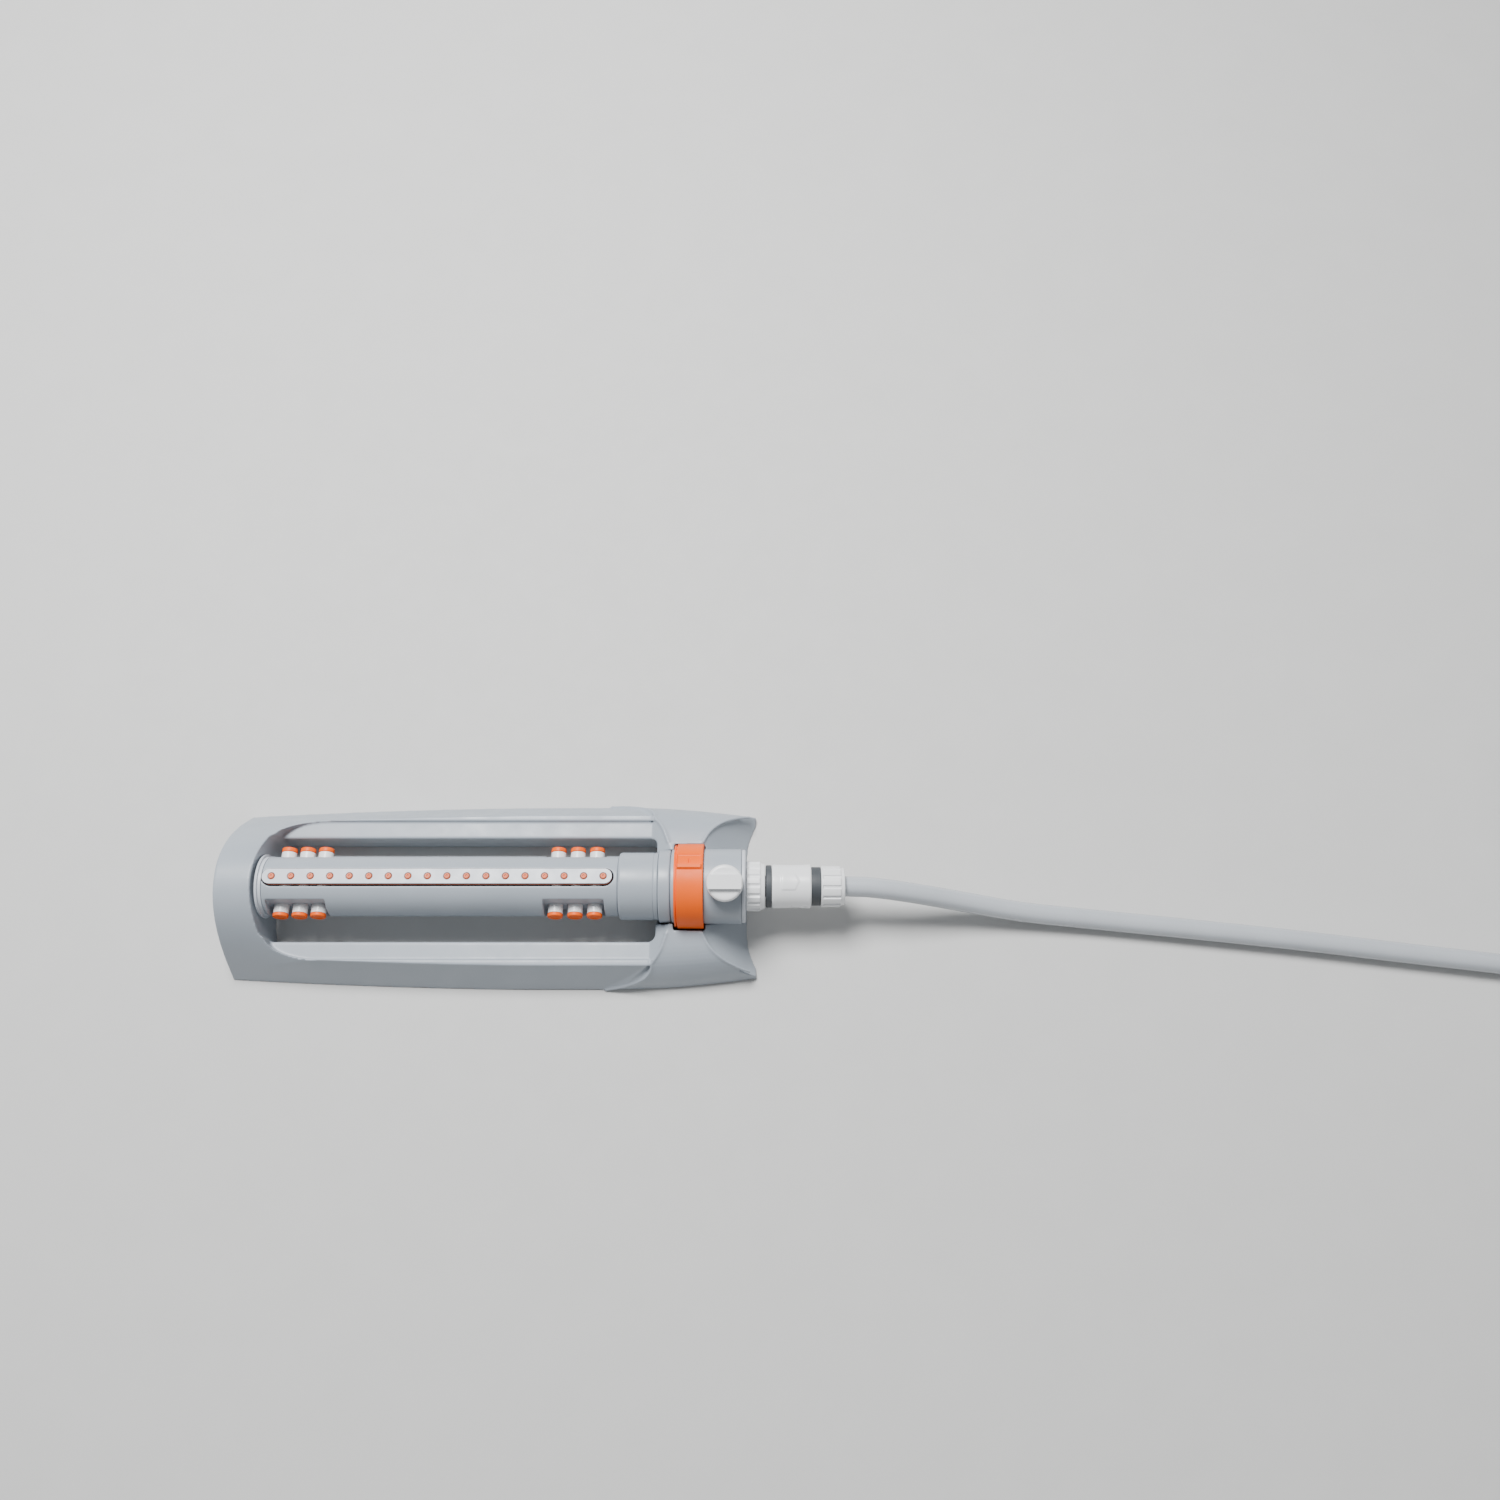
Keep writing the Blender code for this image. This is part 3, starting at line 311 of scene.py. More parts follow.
def object_from(bm, name, matrix=None):
    if matrix:
        bm.transform(matrix)
    bmesh.ops.remove_doubles(bm, verts=bm.verts, dist=1e-7)
    bmesh.ops.recalc_face_normals(bm, faces=bm.faces)
    mesh = bpy.data.meshes.new(name)
    bm.to_mesh(mesh)
    bm.free()
    return bpy.data.objects.new(name, mesh)


def softened(points, radius, loop):
    """The profile with its corners rounded."""
    made = []
    count = len(points)
    for i, point in enumerate(points):
        if not loop and i in (0, count - 1):
            made.append(Vector(point))
            continue
        here = Vector(point)
        before = Vector(points[i - 1]) - here
        after = Vector(points[(i + 1) % count]) - here
        reach = min(radius, before.length * 0.45, after.length * 0.45)
        start = here + before.normalized() * reach
        stop = here + after.normalized() * reach
        for k in range(CORNER_STEPS + 1):
            t = k / CORNER_STEPS
            made.append(start * (1 - t) ** 2 + here * 2 * t * (1 - t) + stop * t * t)
    return made


def dense(points, step, loop):
    """The profile with its long straights divided."""
    made = []
    pairs = list(zip(points, points[1:]))
    if loop:
        pairs.append((points[-1], points[0]))
    for first, second in pairs:
        parts = max(1, round((second - first).length / step))
        made += [first.lerp(second, k / parts) for k in range(parts)]
    if not loop:
        made.append(points[-1])
    return made


def lathe(name, profile, matrix, steps=96, rounding=0.0005, step=1.0, shape=None, loop=True):
    """A turned solid. profile is (along, radius); shape(along, angle, radius) gives a changed radius."""
    points = dense(softened([Vector((a, r)) for a, r in profile], rounding, loop), step, loop)
    bm = bmesh.new()
    rows = []
    for along, radius in points:
        if radius < 1e-6:
            rows.append([bm.verts.new((0, 0, along))] * steps)
            continue
        row = []
        for k in range(steps):
            angle = math.tau * k / steps
            r = shape(along, angle, radius) if shape else radius
            row.append(bm.verts.new((r * math.cos(angle), r * math.sin(angle), along)))
        rows.append(row)
    pairs = list(zip(rows, rows[1:]))
    if loop:
        pairs.append((rows[-1], rows[0]))
    for first, second in pairs:
        for k in range(steps):
            j = (k + 1) % steps
            corners = []
            for vert in (first[k], second[k], second[j], first[j]):
                if vert not in corners:
                    corners.append(vert)
            if len(corners) > 2:
                bm.faces.new(corners)
    return object_from(bm, name, matrix)


def plate(name, outline, low, high, matrix):
    """A flat prism over an outline in local XY."""
    bm = bmesh.new()
    bottom = [bm.verts.new((x, y, low)) for x, y in outline]
    top = [bm.verts.new((x, y, high)) for x, y in outline]
    bm.faces.new(list(reversed(bottom)))
    bm.faces.new(top)
    for i in range(len(outline)):
        j = (i + 1) % len(outline)
        bm.faces.new((bottom[i], bottom[j], top[j], top[i]))
    return object_from(bm, name, matrix)


def block(name, low, high, matrix=None):
    x, y, z = low
    u, v, w = high
    return plate(name, [(x, y), (u, y), (u, v), (x, v)], z, w, matrix)


def loft(name, sections):
    bm = bmesh.new()
    rings = [[bm.verts.new(point) for point in section] for section in sections]
    count = len(rings[0])
    for here, there in zip(rings, rings[1:]):
        for i in range(count):
            j = (i + 1) % count
            bm.faces.new((here[i], here[j], there[j], there[i]))
    bmesh.ops.triangulate(bm, faces=bm.faces)
    bm.faces.new(rings[0])
    bm.faces.new(list(reversed(rings[-1])))
    return object_from(bm, name)


def applied(obj):
    """The object's mesh with its modifiers applied."""
    if obj.name not in bpy.context.scene.collection.objects:
        bpy.context.scene.collection.objects.link(obj)
    bpy.context.view_layer.update()
    graph = bpy.context.evaluated_depsgraph_get()
    mesh = bpy.data.meshes.new_from_object(obj.evaluated_get(graph))
    name = obj.name
    bpy.data.objects.remove(obj, do_unlink=True)
    return bpy.data.objects.new(name, mesh)


def combine(target, others, operation):
    """Cuts, joins or trims target by others, one after another, and returns the new object."""
    scene = bpy.context.scene.collection.objects
    scene.link(target)
    for other in others:
        scene.link(other)
        modifier = target.modifiers.new(other.name, "BOOLEAN")
        modifier.operation = operation
        modifier.solver = "MANIFOLD"
        modifier.object = other
    made = applied(target)
    for other in others:
        bpy.data.objects.remove(other, do_unlink=True)
    return made


def remoulded(obj, voxel, iterations, keep):
    """The solid re-skinned with softly rounded edges, as a moulding has."""
    bpy.context.scene.collection.objects.link(obj)
    remesh = obj.modifiers.new("remesh", "REMESH")
    remesh.mode = "VOXEL"
    remesh.voxel_size = voxel
    smooth = obj.modifiers.new("smooth", "SMOOTH")
    smooth.factor = 0.5
    smooth.iterations = iterations
    fewer = obj.modifiers.new("fewer", "DECIMATE")
    fewer.ratio = keep
    return applied(obj)


def spline_points(table, count):
    """count points on a Catmull-Rom curve through a table of 2-D or 3-D points, evenly spaced."""
    knots = [Vector(p) for p in table]
    knots = [2 * knots[0] - knots[1]] + knots + [2 * knots[-1] - knots[-2]]
    fine = []
    for a, b, c, d in zip(knots, knots[1:], knots[2:], knots[3:]):
        for i in range(16):
            t = i / 16
            fine.append(0.5 * (2 * b + (c - a) * t + (2 * a - 5 * b + 4 * c - d) * t * t
                               + (3 * b - a - 3 * c + d) * t ** 3))
    fine.append(knots[-2])
    lengths = [0.0]
    for a, b in zip(fine, fine[1:]):
        lengths.append(lengths[-1] + (b - a).length)
    made = []
    k = 0
    for i in range(count):
        want = lengths[-1] * i / (count - 1)
        while k < len(fine) - 2 and lengths[k + 1] < want:
            k += 1
        share = (want - lengths[k]) / (lengths[k + 1] - lengths[k])
        made.append(fine[k].lerp(fine[k + 1], share))
    return made


# ---------------------------------------------------------------- hose
def coil_point(angle, radius, z):
    return Vector((COIL_CENTRE[0] + radius * math.cos(angle), COIL_CENTRE[1] + radius * math.sin(angle), z))


def ease(t):
    return t * t * (3 - 2 * t)


def hose_points():
    """From the sprinkler to the coil, round its layers, and off its top to the far connector."""
    points = spline_points(HOSE_ROUTE, 34)
    floor_z = HOSE_ROUTE[-1][2]
    step = math.radians(5)
    angle = ARRIVAL
    radius = COIL_FIRST
    z = floor_z
    first = coil_point(angle, radius, z)
    landing = points[-1]
    for k in range(1, 4):
        points.append(landing.lerp(first, k / 4))
    way = -1
    for layer in range(COIL_LAYERS):
        for turn in range(COIL_TURNS):
            stop = SHIFT_START + math.tau * (1 + (layer * COIL_TURNS + turn))
            while angle < stop - 1e-6:
                points.append(coil_point(angle, radius, z))
                angle += step
            last = turn == COIL_TURNS - 1
            top = last and layer == COIL_LAYERS - 1
            rise = (TAIL_Z - z if top else COIL_PITCH) if last else 0.0
            shift = (TAIL_RADIUS - radius if top else 0.0) if last else way * COIL_PITCH
            bulge = way * CLIMB_BULGE if last and not top else 0.0
            start = angle
            while angle < start + SHIFT_SPAN - 1e-6:
                t = (angle - start) / SHIFT_SPAN
                swing = radius + shift * ease(t) + bulge * math.sin(math.pi * t)
                points.append(coil_point(angle, swing, z + rise * ease(t)))
                angle += step
            radius += shift
            z += rise
        way = -way
    leave = math.ceil(angle / math.pi - 1e-6) * math.pi
    while angle < leave - 1e-6:
        points.append(coil_point(angle, radius, z))
        angle += math.radians(4)
    start = coil_point(math.pi, TAIL_RADIUS, TAIL_Z)
    for i in range(7):
        t = i / 6
        points.append(start + Vector((0, -TAIL_LENGTH * t, TAIL_RISE * ease(t))))
    return points


def make_hose():
    points = hose_points()
    length = sum((b - a).length for a, b in zip(points, points[1:]))
    curve = bpy.data.curves.new("hose", "CURVE")
    curve.dimensions = "3D"
    curve.bevel_depth = HOSE_RADIUS
    curve.bevel_resolution = 6
    curve.use_fill_caps = True
    spline = curve.splines.new("POLY")
    spline.points.add(len(points) - 1)
    for point, place in zip(spline.points, points):
        point.co = (*place, 1.0)
    spline.use_smooth = True
    hose = bpy.data.objects.new("hose", curve)
    add_piece(hose, HOSE, "base", ("hose_run", "hose_coil", "hose_tail"))
    print("hose length", length)
    return hose, points, length


hose, hose_line, hose_length = make_hose()


# ---------------------------------------------------------------- base frame
def half_width(x):
    if x < WIDEST_X:
        return HALF_WIDTH - LEFT_TAPER * ((x - WIDEST_X) / (LEFT_END - WIDEST_X)) ** 2
    return HALF_WIDTH - RIGHT_TAPER * ((x - WIDEST_X) / (RIGHT_END - WIDEST_X)) ** 2


def arch_profile(x):
    share = min(1.0, (x - LEFT_END) / (ARCH_END_X - LEFT_END))
    edge = half_width(x) - SKIRT_RUN * (0.3 + 0.7 * share)
    crease = ARCH_CREASE_Z + (RAIL_Z - ARCH_CREASE_Z) * share
    points = []
    for i in range(SECTION_POINTS):
        y = i / (SECTION_POINTS - 1)
        points.append((edge * y, ARCH_Z * (1 - (1 - crease / ARCH_Z) * y ** 2.1)))
    return points + [(half_width(x), 0.0)]


def rail_profile(x, top):
    edge = half_width(x) - SKIRT_RUN
    points = [(edge * i / (SECTION_POINTS - 2), top) for i in range(SECTION_POINTS - 1)]
    return points + [(edge + 0.0002, top - 0.0008), (half_width(x), 0.0)]


# the strap's section: how far out as a share of the half width, and the height there
STRAP = ((0.0, 0.046), (0.20, 0.0435), (0.40, 0.0405), (0.56, 0.0375), (0.68, 0.0345), (0.79, 0.0295),
         (0.87, 0.0230), (0.93, 0.0160), (0.975, 0.0080), (1.0, 0.0))


def strap_profile(x):
    wide = half_width(x)
    fine = spline_points([(y * HALF_WIDTH, z) for y, z in STRAP], SECTION_POINTS)
    points = [(wide * y / HALF_WIDTH, max(0.0, z)) for y, z in fine]
    return points + [(wide, -0.0)]


def strap_edge(z):
    return PLATEAU_RIGHT - 0.044 * max(0.0, 1 - z / RAIL_Z) ** 2.2


def section(points, x_of):
    back = [(x_of(z), y, z) for y, z in points]
    front = [(x_of(z), -y, z) for y, z in reversed(points[1:])]
    return back + front


def steps_between(low, high, count):
    return [low + (high - low) * i / (count - 1) for i in range(count)]


def base_sections(shrink, drop):
    def inset(points):
        return [(y * (1 - shrink / HALF_WIDTH), z - drop if z > 0 else -4 * drop) for y, z in points]

    top = RAIL_Z - drop
    made = []
    for x in steps_between(LEFT_END + shrink, ARCH_END_X, 20):
        made.append(section(inset(arch_profile(x)), lambda z, x=x: x))
    for x in steps_between(ARCH_END_X + 0.003, 0.010, 24):
        made.append(section(inset(rail_profile(x, top)), lambda z, x=x: x))
    made.append(section(inset(rail_profile(0.090, top)), strap_edge))
    made.append(section(inset(strap_profile(0.090)), lambda z: strap_edge(z) + 0.002))
    for x in steps_between(0.118, RIGHT_END - shrink, 12):
        made.append(section(inset(strap_profile(x)), lambda z, x=x: x))
    return made


def plateau_outline(grow):
    wide = PLATEAU_HALF + grow
    points = [(PLATEAU_RIGHT + grow, wide)]
    for i in range(25):
        angle = math.radians(90) * i / 24
        points.append((-0.151 - 0.0405 * math.sin(angle) - grow, 0.0420 + (wide - 0.0420) * math.cos(angle)))
    points.append((PLATEAU_LEFT - grow, 0.0330))
    return points + [(x, -y) for x, y in reversed(points)]


def plateau_cutter(name, low, grow):
    cutter = plate(name, plateau_outline(grow), low, 0.090, None)
    for vertex in cutter.data.vertices:
        if vertex.co.x > 0 and vertex.co.z > 0.05:
            vertex.co.x += FLANK_LEAN * (0.090 - low)
    return cutter


def slot_outline(grow):
    radius = SLOT_CORNER + grow
    y = SLOT_HALF - SLOT_CORNER
    left = SLOT_LEFT + SLOT_BOW * (y / SLOT_HALF) ** 2 + SLOT_CORNER
    points = []
    for x, start in ((SLOT_RIGHT - SLOT_CORNER, 0), (left, 90)):
        for i in range(13):
            angle = math.radians(start + 90 * i / 12)
            points.append((x + radius * math.cos(angle), y + radius * math.sin(angle)))
    for k in range(7, 0, -1):
        share = k / 8
        points.append((SLOT_LEFT + SLOT_BOW * (share * y / SLOT_HALF) ** 2 - grow, share * y))
    centre = [(SLOT_LEFT - grow, 0.0)]
    return points + centre + [(x, -y) for x, y in reversed(points)]


def scoop_cutter(name, shift):
    sections = []
    for i in range(61):
        y = 0.098 * (i - 30) / 30
        bow = max(0.0, abs(y) - SCOOP_FROM_Y) / SCOOP_BOW_REACH
        corners = []
        for z in (-0.010, 0.060):
            corners.append((SCOOP_X - SCOOP_LEAN * z + SCOOP_BOW * bow ** 2 - shift, y, z))
        sections.append(corners + [(0.290, y, 0.060), (0.290, y, -0.010)])
    return loft(name, sections)


def crease_beads():
    """Fine raised beads along the strap's left edge and along the scoops' edges, front and back."""
    profile = [(half_width(0.110) * y / HALF_WIDTH, z) for y, z in
               spline_points([(y * HALF_WIDTH, z) for y, z in STRAP], 60)]
    left, right = [], []
    for y, z in profile:
        if y < 0.036 or z < 0.0016:
            continue
        edge = strap_edge(z) + 0.002 if z < PLATEAU_Z else PLATEAU_RIGHT + FLANK_LEAN * (z - PLATEAU_Z)
        left.append((edge, y * half_width(edge) / half_width(0.110), z))
        bow = max(0.0, y - SCOOP_FROM_Y) / SCOOP_BOW_REACH
        x = SCOOP_X - SCOOP_LEAN * z + SCOOP_BOW * bow ** 2
        if y > 0.0385 and x < RIGHT_END - 0.004:
            right.append((x, y * half_width(x) / half_width(0.110), z))
    beads = []
    for k, path in enumerate((left, right)):
        for sign in (-1, 1):
            centres = [Vector((x, sign * y, z - BEAD_SINK)) for x, y, z in path]
            beads.append(bead(f"bead_{k}_{sign}", centres))
    return beads


def joined(name, first, others):
    """The shells of several solids in one mesh, which the re-skinning then melts together."""
    bm = bmesh.new()
    for obj in (first, *others):
        bm.from_mesh(obj.data)
        bpy.data.objects.remove(obj, do_unlink=True)
    return object_from(bm, name)


def bead(name, points):
    """A closed round bar along a path, for joining to a moulding."""
    bm = bmesh.new()
    rows = []
    for i, point in enumerate(points):
        along = (points[min(i + 1, len(points) - 1)] - points[max(i - 1, 0)]).normalized()
        side = along.cross(Vector((0, 0, 1)))
        side = side.normalized() if side.length > 1e-4 else Vector((1, 0, 0))
        up = side.cross(along)
        row = []
        for k in range(BEAD_SIDES):
            turn = math.tau * k / BEAD_SIDES
            row.append(bm.verts.new(point + BEAD_RADIUS * (side * math.cos(turn) + up * math.sin(turn))))
        rows.append(row)
    for first, second in zip(rows, rows[1:]):
        for k in range(BEAD_SIDES):
            j = (k + 1) % BEAD_SIDES
            bm.faces.new((first[k], second[k], second[j], first[j]))
    bm.faces.new(rows[0])
    bm.faces.new(rows[-1])
    return object_from(bm, name)


def make_base():
    hollow = combine(loft("hollow", base_sections(WALL, WALL)), [
        plate("slot_wall", slot_outline(WALL), -0.030, 0.120, None),
        plateau_cutter("under_plateau", PLATEAU_Z - WALL, WALL),
        scoop_cutter("inner_scoop", 0.0036),
        block("rib_left", (0.1245, -0.1, -0.1), (0.1270, 0.1, 0.1)),
        block("rib_middle", (0.1610, -0.1, -0.1), (0.1635, 0.1, 0.1)),
    ], "DIFFERENCE")
    profile = [(0.100, 0), (0.100, 0.0303), (0.1325, 0.0303), (0.1326, 0.0356), (0.1578, 0.0356),
               (0.1579, 0.0303), (0.260, 0.0303), (0.260, 0)]
    trough = lathe("trough", profile, ALONG_X, 96, 0.0, loop=False)
    bearing = lathe("bearing_hole", [(-0.215, 0), (-0.215, 0.0063), (-0.190, 0.0063), (-0.190, 0)],
                    ALONG_X, 40, 0.0, loop=False)
    base = combine(loft("base_moulding", base_sections(0.0, 0.0)), [
        plateau_cutter("plateau", PLATEAU_Z, 0.0),
        scoop_cutter("scoop", 0.0),
        plate("slot", slot_outline(0.0), -0.030, 0.120, None),
        hollow, trough, bearing,
    ], "DIFFERENCE")
    base = remoulded(joined("base_moulding", base, crease_beads()), 0.00085, 5, 0.35)
    base.name = "base_moulding"
    add_piece(base, GREY, "base", ("base_frame",), 45)


# ---------------------------------------------------------------- spray tube
def pill(grow, count=16):
    """The strip's outline, a slot with round ends."""
    points = []
    radius = STRIP_HALF + grow
    for centre, start in ((STRIP_RIGHT - STRIP_HALF, -90), (STRIP_LEFT + STRIP_HALF, 90)):
        for i in range(count + 1):
            angle = math.radians(start + 180 * i / count)
            points.append((centre + radius * math.cos(angle), radius * math.sin(angle)))
    return points


def make_tube():
    profile = [(TUBE_LEFT, TUBE_BORE), (TUBE_LEFT, TUBE_RADIUS),
               (TUBE_RIGHT, TUBE_RADIUS), (TUBE_RIGHT, TUBE_BORE)]
    shell = lathe("tube_moulding", profile, TUBE_X, 128, 0.0006)
    walls = []
    cuts = [plate("strip_seat", pill(0.0012), 0.0190, 0.0300, TUBE)]
    for xs in (PIN_XS[:3], PIN_XS[3:]):
        low = min(xs) - PIN_MARGIN
        high = max(xs) + PIN_MARGIN
        for sign in (-1, 1):
            near, far = sorted((sign * 0.0145, sign * 0.0240))
            wall = block(f"wall_{len(walls)}", (low - WALL, near, POCKET_LOW - WALL),
                         (high + WALL, far, POCKET_HIGH), TUBE)
            inner = TUBE_RADIUS - 0.0003
            profile = [(TUBE_LEFT, 0), (TUBE_LEFT, inner), (TUBE_RIGHT, inner), (TUBE_RIGHT, 0)]
            core = lathe("core", profile, TUBE_X, 128, 0, loop=False)
            walls.append(combine(wall, [core], "INTERSECT"))
            near, far = sorted((sign * POCKET_FLOOR_Y, sign * 0.0400))
            top = POCKET_ROOF if sign > 0 else POCKET_HIGH
            cuts.append(block(f"pocket_{len(cuts)}", (low, near, POCKET_LOW), (high, far, top), TUBE))
    for x in PIN_XS:
        turn = TUBE @ Matrix.Translation((x, 0, 0)) @ Matrix.Rotation(math.radians(90), 4, "X")
        profile = [(-0.04, 0), (-0.04, 0.0063), (0.04, 0.0063), (0.04, 0)]
        cuts.append(lathe(f"pin_bore_{x}", profile, turn, 40, 0, loop=False))
    shell = combine(shell, walls, "UNION")
    shell = combine(shell, cuts, "DIFFERENCE")
    shell = remoulded(shell, 0.0006, 4, 0.35)
    shell.name = "tube_moulding"
    add_piece(shell, GREY, "spray_tube", ("tube_shell",), 50)


def make_strip():
    cover = plate("strip_cover", pill(0.0, count=20), 0.0235, 0.0256, TUBE)
    holes = []
    for k in range(NOZZLES):
        place = TUBE @ Matrix.Translation((NOZZLE_FIRST + k * NOZZLE_PITCH, 0, 0))
        holes.append(lathe(f"hole_{k}", [(0.020, 0), (0.020, 0.0027), (0.0249, 0.0027), (0.0262, 0.0036),
                                         (0.0262, 0)], place, 24, 0, loop=False))
    cover = combine(cover, holes, "DIFFERENCE")
    cover.name = "strip_cover"
    bevel = cover.modifiers.new("bevel", "BEVEL")
    bevel.width = 0.00045
    bevel.segments = 3
    bevel.limit_method = "ANGLE"
    bevel.angle_limit = math.radians(40)
    add_piece(cover, LIGHT, "spray_tube", ("nozzle_cover_strip",), 45)

    bm = bmesh.new()
    under = plate("under", pill(0.0), 0.0212, 0.0232, TUBE)
    bm.from_mesh(under.data)
    for k in range(NOZZLES):
        place = TUBE @ Matrix.Translation((NOZZLE_FIRST + k * NOZZLE_PITCH, 0, 0))
        profile = [(0.0220, 0), (0.0220, 0.0024), (0.0258, 0.0023), (0.0264, 0.0019), (0.0264, 0.0009),
                   (0.0256, 0.0006), (0.0256, 0)]
        tip = lathe(f"tip_{k}", profile, place, 24, 0.0003, loop=False)
        bm.from_mesh(tip.data)
        bpy.data.objects.remove(tip, do_unlink=True)
    bpy.data.objects.remove(under, do_unlink=True)
    tips = object_from(bm, "nozzle_tips")
    add_piece(tips, SOFT, "spray_tube", ("nozzle_strip",), 40)


def make_tube_ends():
    cap = lathe("tube_flange", [(-0.2045, 0), (-0.2045, 0.0038), (-0.1969, 0.0038), (-0.1968, 0.0120),
                                (-0.1964, 0.0124), (-0.1964, 0.0185), (-0.1968, 0.0190), (-0.1968, 0.0253),
                                (-0.1948, 0.0257), (-0.1947, 0.0236), (-0.1923, 0.0236), (-0.1923, 0)],
                TUBE_X, 96, 0.0003, loop=False)
    add_piece(cap, LIGHT, "spray_tube", ("tube_end_cap",))
    x0 = TUBE_RIGHT + 0.0003
    profile = [(x0, 0.0205), (x0, 0.0262), (x0 + 0.0016, 0.0270), (0.1170, 0.0270), (0.1173, 0.0266),
               (0.1178, 0.0266), (0.1181, 0.0270), (0.1208, 0.0270), (0.1208, 0.0088), (0.1169, 0.0088),
               (0.1168, 0.0205)]
    sleeve = lathe("tube_socket", profile, TUBE_X, 128, 0.0005)
    add_piece(sleeve, GREY, "spray_tube", ("tube_sleeve",))


def make_pins():
    for k, x in enumerate(PIN_XS, start=1):
        turn = TUBE @ Matrix.Translation((x, 0, 0)) @ Matrix.Rotation(math.radians(-90), 4, "X")
        body = f"pin_{k}"
        profile = [(PIN_FRONT, 0), (PIN_FRONT, PIN_RADIUS), (-0.0040, PIN_RADIUS), (-0.0038, 0.0042),
                   (0.0010, 0.0042), (0.0012, PIN_RADIUS), (PIN_BACK, PIN_RADIUS), (PIN_BACK, 0)]
        shaft = lathe(f"pin_shaft_{k}", profile, turn, 40, 0.0003, loop=False)
        add_piece(shaft, WHITE, body, (f"shutoff_pin_{k}",))
        for side, at, reach in (("front", PIN_FRONT - CAP_GAP, CAP_REACH_FRONT),
                                ("back", PIN_BACK + CAP_GAP, CAP_REACH_BACK)):
            end = at + reach
            profile = [(at, 0), (at, 0.0062), (end, 0.0060), (end, 0.0034), (end - reach * 0.12, 0.0032),
                       (end - reach * 0.12, 0)]
            cap = lathe(f"pin_button_{side}_{k}", profile, turn, 40, 0.0007, loop=False)
            add_piece(cap, ORANGE, body, (f"pin_cap_{side}_{k}",))


# ---------------------------------------------------------------- drive end
def make_housing():
    cover = lathe("drive_cover", [(0.1212, 0.0088), (0.1212, 0.0284), (0.1218, 0.0290), (0.1298, 0.0290),
                                  (0.1307, 0.0284), (0.1308, 0.0268), (0.1332, 0.0268), (0.1332, 0.0088)],
                  ALONG_X, 128, 0.0005)
    add_piece(cover, GREY, "base", ("drive_front_cover",))
    profile = [(0.1315, 0.0272), (0.1315, 0.0295), (0.1574, 0.0295), (0.1576, 0.0300), (0.1868, 0.0300),
               (0.1873, 0.0296), (0.1873, 0.0272)]
    body = lathe("drive_housing", profile, ALONG_X, 128, 0.0005)
    stem = lathe("stem_hole", [(0.0100, 0), (0.0100, 0.0048), (0.0500, 0.0048), (0.0500, 0)], KNOB, 48, 0,
                 loop=False)
    body = combine(body, [stem], "DIFFERENCE")
    body.name = "drive_housing"
    add_piece(body, GREY, "base", ("housing_body",))
    cap = lathe("inlet_cap", [(0.1835, 0.0085), (0.1835, 0.0268), (0.1875, 0.0268), (0.1876, 0.0294),
                              (0.1898, 0.0294), (0.1906, 0.0284), (0.1907, 0.0120), (0.2030, 0.0120),
                              (0.2030, 0.0085)], ALONG_X, 128, 0.0004)
    add_piece(cap, LIGHT, "base", ("housing_end_cap",))


def make_ring():
    def shape(along, angle, radius):
        """A raised rib, a recess behind it and a pointer sunk in the recess."""
        if radius < 0.0325:
            return radius
        turn = math.degrees(math.atan2(math.sin(angle), -math.cos(angle)))
        inside = ramp(along - 0.1362, 0.0006) * ramp(0.1560 - along, 0.0006)
        rib = ramp(RIB_HALF - abs(turn - RIB_TURN), 0.7)
        back = ramp(turn - RIB_TURN, 1.5) * ramp(RECESS_END - turn, 1.5)
        mark = ramp(0.0010 - abs(along - 0.1462), 0.0004) * ramp(4.0 - abs(turn - MARK_TURN), 0.7)
        return radius + inside * (0.0022 * rib - 0.0011 * back * (1 - rib)) - 0.0008 * mark

    profile = [(0.1338, 0.0299), (0.1338, 0.0328), (0.1352, 0.0330), (0.1354, 0.0320), (0.1360, 0.0320),
               (0.1362, 0.0340), (0.1566, 0.0340), (0.1570, 0.0336), (0.1570, 0.0299)]
    ring = lathe("range_collar", profile, ALONG_X, 360, 0.0004, 0.0007, shape)
    add_piece(ring, ORANGE, "ring", ("range_ring",), 40)


def make_knob():
    profile = [(0.0330, 0), (0.0330, 0.0140), (0.0336, 0.0144), (0.0396, 0.0144), (0.0412, 0.0134),
               (0.0416, 0.0118), (0.0410, 0)]
    disc = lathe("knob_disc", profile, KNOB, 96, 0.0006, loop=False)
    points = []
    for i in range(49):
        x = -0.0132 + 0.0264 * i / 48
        reach = math.sqrt(max(0.0, 0.0136 ** 2 - x * x))
        points.append((x, min(0.0062, reach)))
    outline = points + [(x, -min(0.0050, y)) for x, y in reversed(points)]
    clean = []
    for point in outline:
        if not clean or (Vector(point) - Vector(clean[-1])).length > 1e-5:
            clean.append(point)
    bar = plate("knob_bar", clean, 0.0395, 0.0452, KNOB)
    knob = combine(disc, [bar], "UNION")
    knob.name = "knob"
    bevel = knob.modifiers.new("bevel", "BEVEL")
    bevel.width = 0.0006
    bevel.segments = 3
    bevel.limit_method = "ANGLE"
    bevel.angle_limit = math.radians(50)
    add_piece(knob, WHITE, "valve", ("flow_knob",), 45)


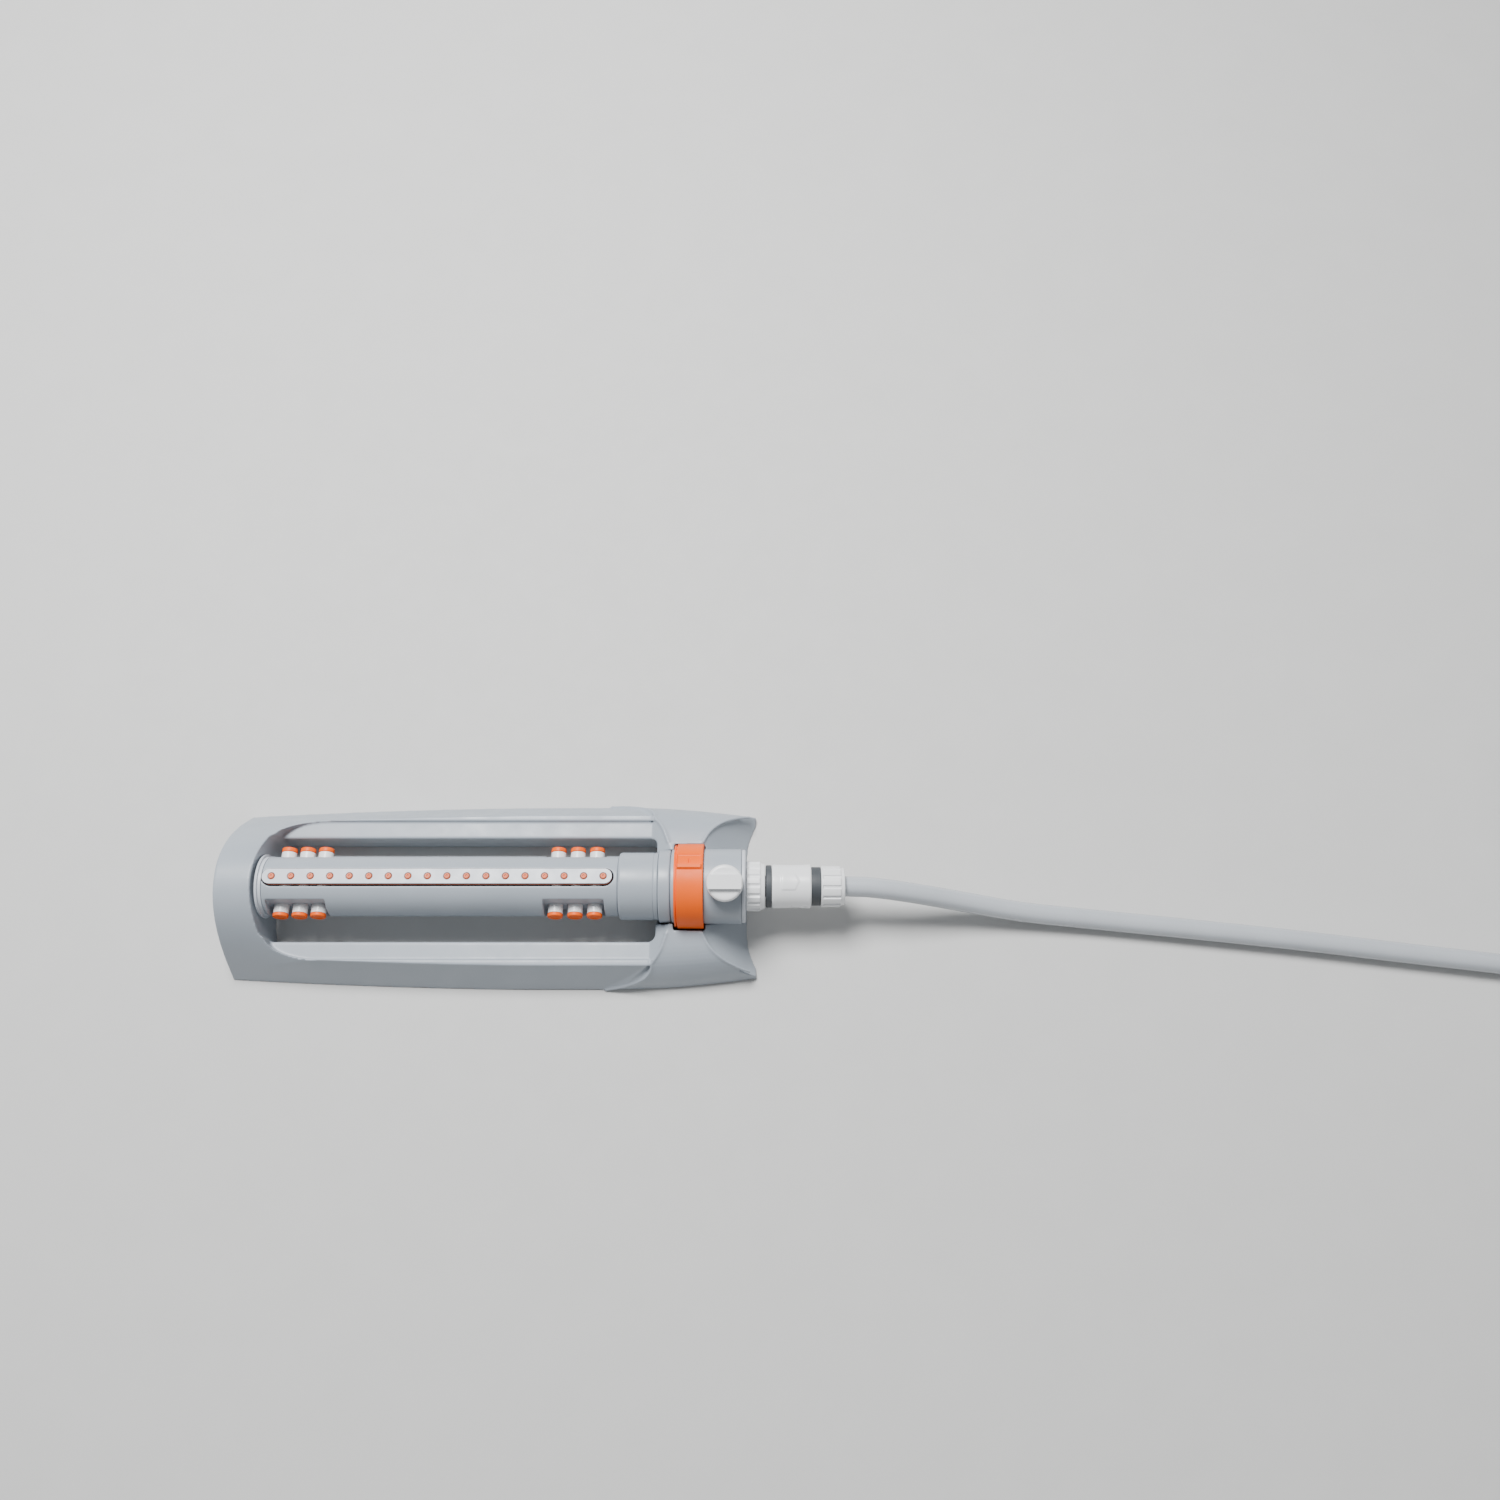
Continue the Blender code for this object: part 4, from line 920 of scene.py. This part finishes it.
def grooved(count, depth, low, high, share):
    """A shape for lathe: grip grooves along a stretch of the outer surface."""
    def shape(along, angle, radius):
        if not low <= along <= high or radius < 0.0148:
            return radius
        place = angle * count / math.tau % 1.0
        near = abs(place - 0.5) * 2
        end = min(1.0, (along - low) / 0.0008, (high - along) / 0.0008)
        return radius - depth * end * max(0.0, min(1.0, (share - near) / 0.12 + 0.5))
    return shape


def make_adaptor():
    profile = [(0.1909, 0.0123), (0.1909, 0.0192), (0.1917, 0.0200), (0.2018, 0.0200), (0.2028, 0.0188),
               (0.2058, 0.0180), (0.2059, 0.0085), (0.2150, 0.0085), (0.2151, 0.0072), (0.2172, 0.0072),
               (0.2173, 0.0085), (0.2270, 0.0085), (0.2280, 0.0075), (0.2280, 0.0052), (0.2031, 0.0052),
               (0.2031, 0.0123)]
    adaptor = lathe("inlet_adaptor", profile, ALONG_X, 192, 0.0004, 0.0012,
                    grooved(16, 0.0012, 0.1915, 0.2022, 0.34))
    add_piece(adaptor, WHITE, "base", ("tap_adaptor",), 40)


def sleeve_shape(along, angle, radius):
    """A slight waist, and a raised thumb pad on top and underneath."""
    if radius < 0.0160:
        return radius
    waist = 0.0004 * math.cos((along - 0.0206) / 0.0158 * math.pi / 2) ** 2
    up = -math.cos(angle)
    across = math.sin(angle)
    half = math.degrees(math.atan2(abs(across), abs(up)))
    pad = ramp(24 - half, 4) * ramp(along - 0.0120, 0.0010)
    pad *= ramp(0.0235 + 0.0035 * (1 - half / 24) - along, 0.0010)
    return radius - waist + 0.0006 * pad


def make_connector(prefix, matrix, bodies, nodes):
    body = [(0.0, 0.0091), (0.0, 0.0164), (0.0006, 0.0170), (0.0045, 0.0170), (0.0046, 0.0135),
            (0.0270, 0.0135), (0.0280, 0.0155), (0.0439, 0.0155), (0.0440, 0.0115), (0.0580, 0.0105),
            (0.0580, 0.0048), (0.0221, 0.0048), (0.0220, 0.0091)]
    core = lathe(f"{prefix}_core", body, matrix, 96, 0.0003)
    add_piece(core, DARK, bodies[0], (nodes[0],))
    sleeve = [(0.0048, 0.0140), (0.0048, 0.0168), (0.0056, 0.0176), (0.0356, 0.0176), (0.0364, 0.0168),
              (0.0364, 0.0158), (0.0210, 0.0158), (0.0200, 0.0140)]
    grip = lathe(f"{prefix}_grip", sleeve, matrix, 192, 0.0005, 0.0007, sleeve_shape)
    add_piece(grip, WHITE, bodies[1], (nodes[1],), 40)
    nut = [(0.0442, 0.0119), (0.0442, 0.0158), (0.0450, 0.0165), (0.0596, 0.0163), (0.0606, 0.0152),
           (0.0628, 0.0148), (NUT_END, 0.0138), (NUT_END, 0.00865), (0.0600, 0.00865), (0.0599, 0.0119)]
    cap = lathe(f"{prefix}_cap_nut", nut, matrix, 192, 0.0004, 0.0009,
                grooved(12, 0.0011, 0.0452, 0.0602, 0.30))
    add_piece(cap, WHITE, bodies[2], (nodes[2],), 40)
    return core, grip, cap


def far_matrix():
    end = hose_line[-1] + Vector((0, -1, 0)) * (HOSE_GAP + NUT_END)
    return Matrix.Translation(end) @ Matrix.Rotation(math.radians(-90), 4, "X")


# ---------------------------------------------------------------- studio
LIGHTS = (("key", (-0.30, 1.00, 2.10), 108, 0.9), ("fill", (1.2, -1.2, 1.6), 4, 1.6))


def make_studio():
    mesh = bpy.data.meshes.new("floor")
    size = 4.0
    corners = [(-size, -size, 0), (size, -size, 0), (size, size, 0), (-size, size, 0)]
    mesh.from_pydata(corners, [], [(0, 1, 2, 3)])
    floor = bpy.data.objects.new("floor", mesh)
    floor.location.z = -0.0004
    bpy.context.scene.collection.objects.link(floor)
    mesh.materials.append(FLOOR)
    world = bpy.data.worlds.new("studio")
    world.use_nodes = True
    back = world.node_tree.nodes["Background"]
    back.inputs["Color"].default_value = (0.93, 0.96, 1.0, 1)
    back.inputs["Strength"].default_value = 0.27
    bpy.context.scene.world = world
    for name, place, energy, size in LIGHTS:
        light = bpy.data.lights.new(name, "AREA")
        light.energy = energy
        light.size = size
        obj = bpy.data.objects.new(name, light)
        obj.location = place
        obj.rotation_euler = (Vector((0.1, 0, 0)) - Vector(place)).to_track_quat("-Z", "Y").to_euler()
        bpy.context.scene.collection.objects.link(obj)


make_base()
make_tube()
make_strip()
make_tube_ends()
make_pins()
make_housing()
make_ring()
make_knob()
make_adaptor()
near = make_connector("coupling", CONNECTOR, ("base", "coupling_sleeve", "coupling_nut"),
                      ("connector_body", "connector_sleeve", "connector_nut"))
far = make_connector("loose_coupling", far_matrix(), ("base", "base", "base"),
                     ("far_connector_body", "far_connector_sleeve", "far_connector_nut"))
make_studio()
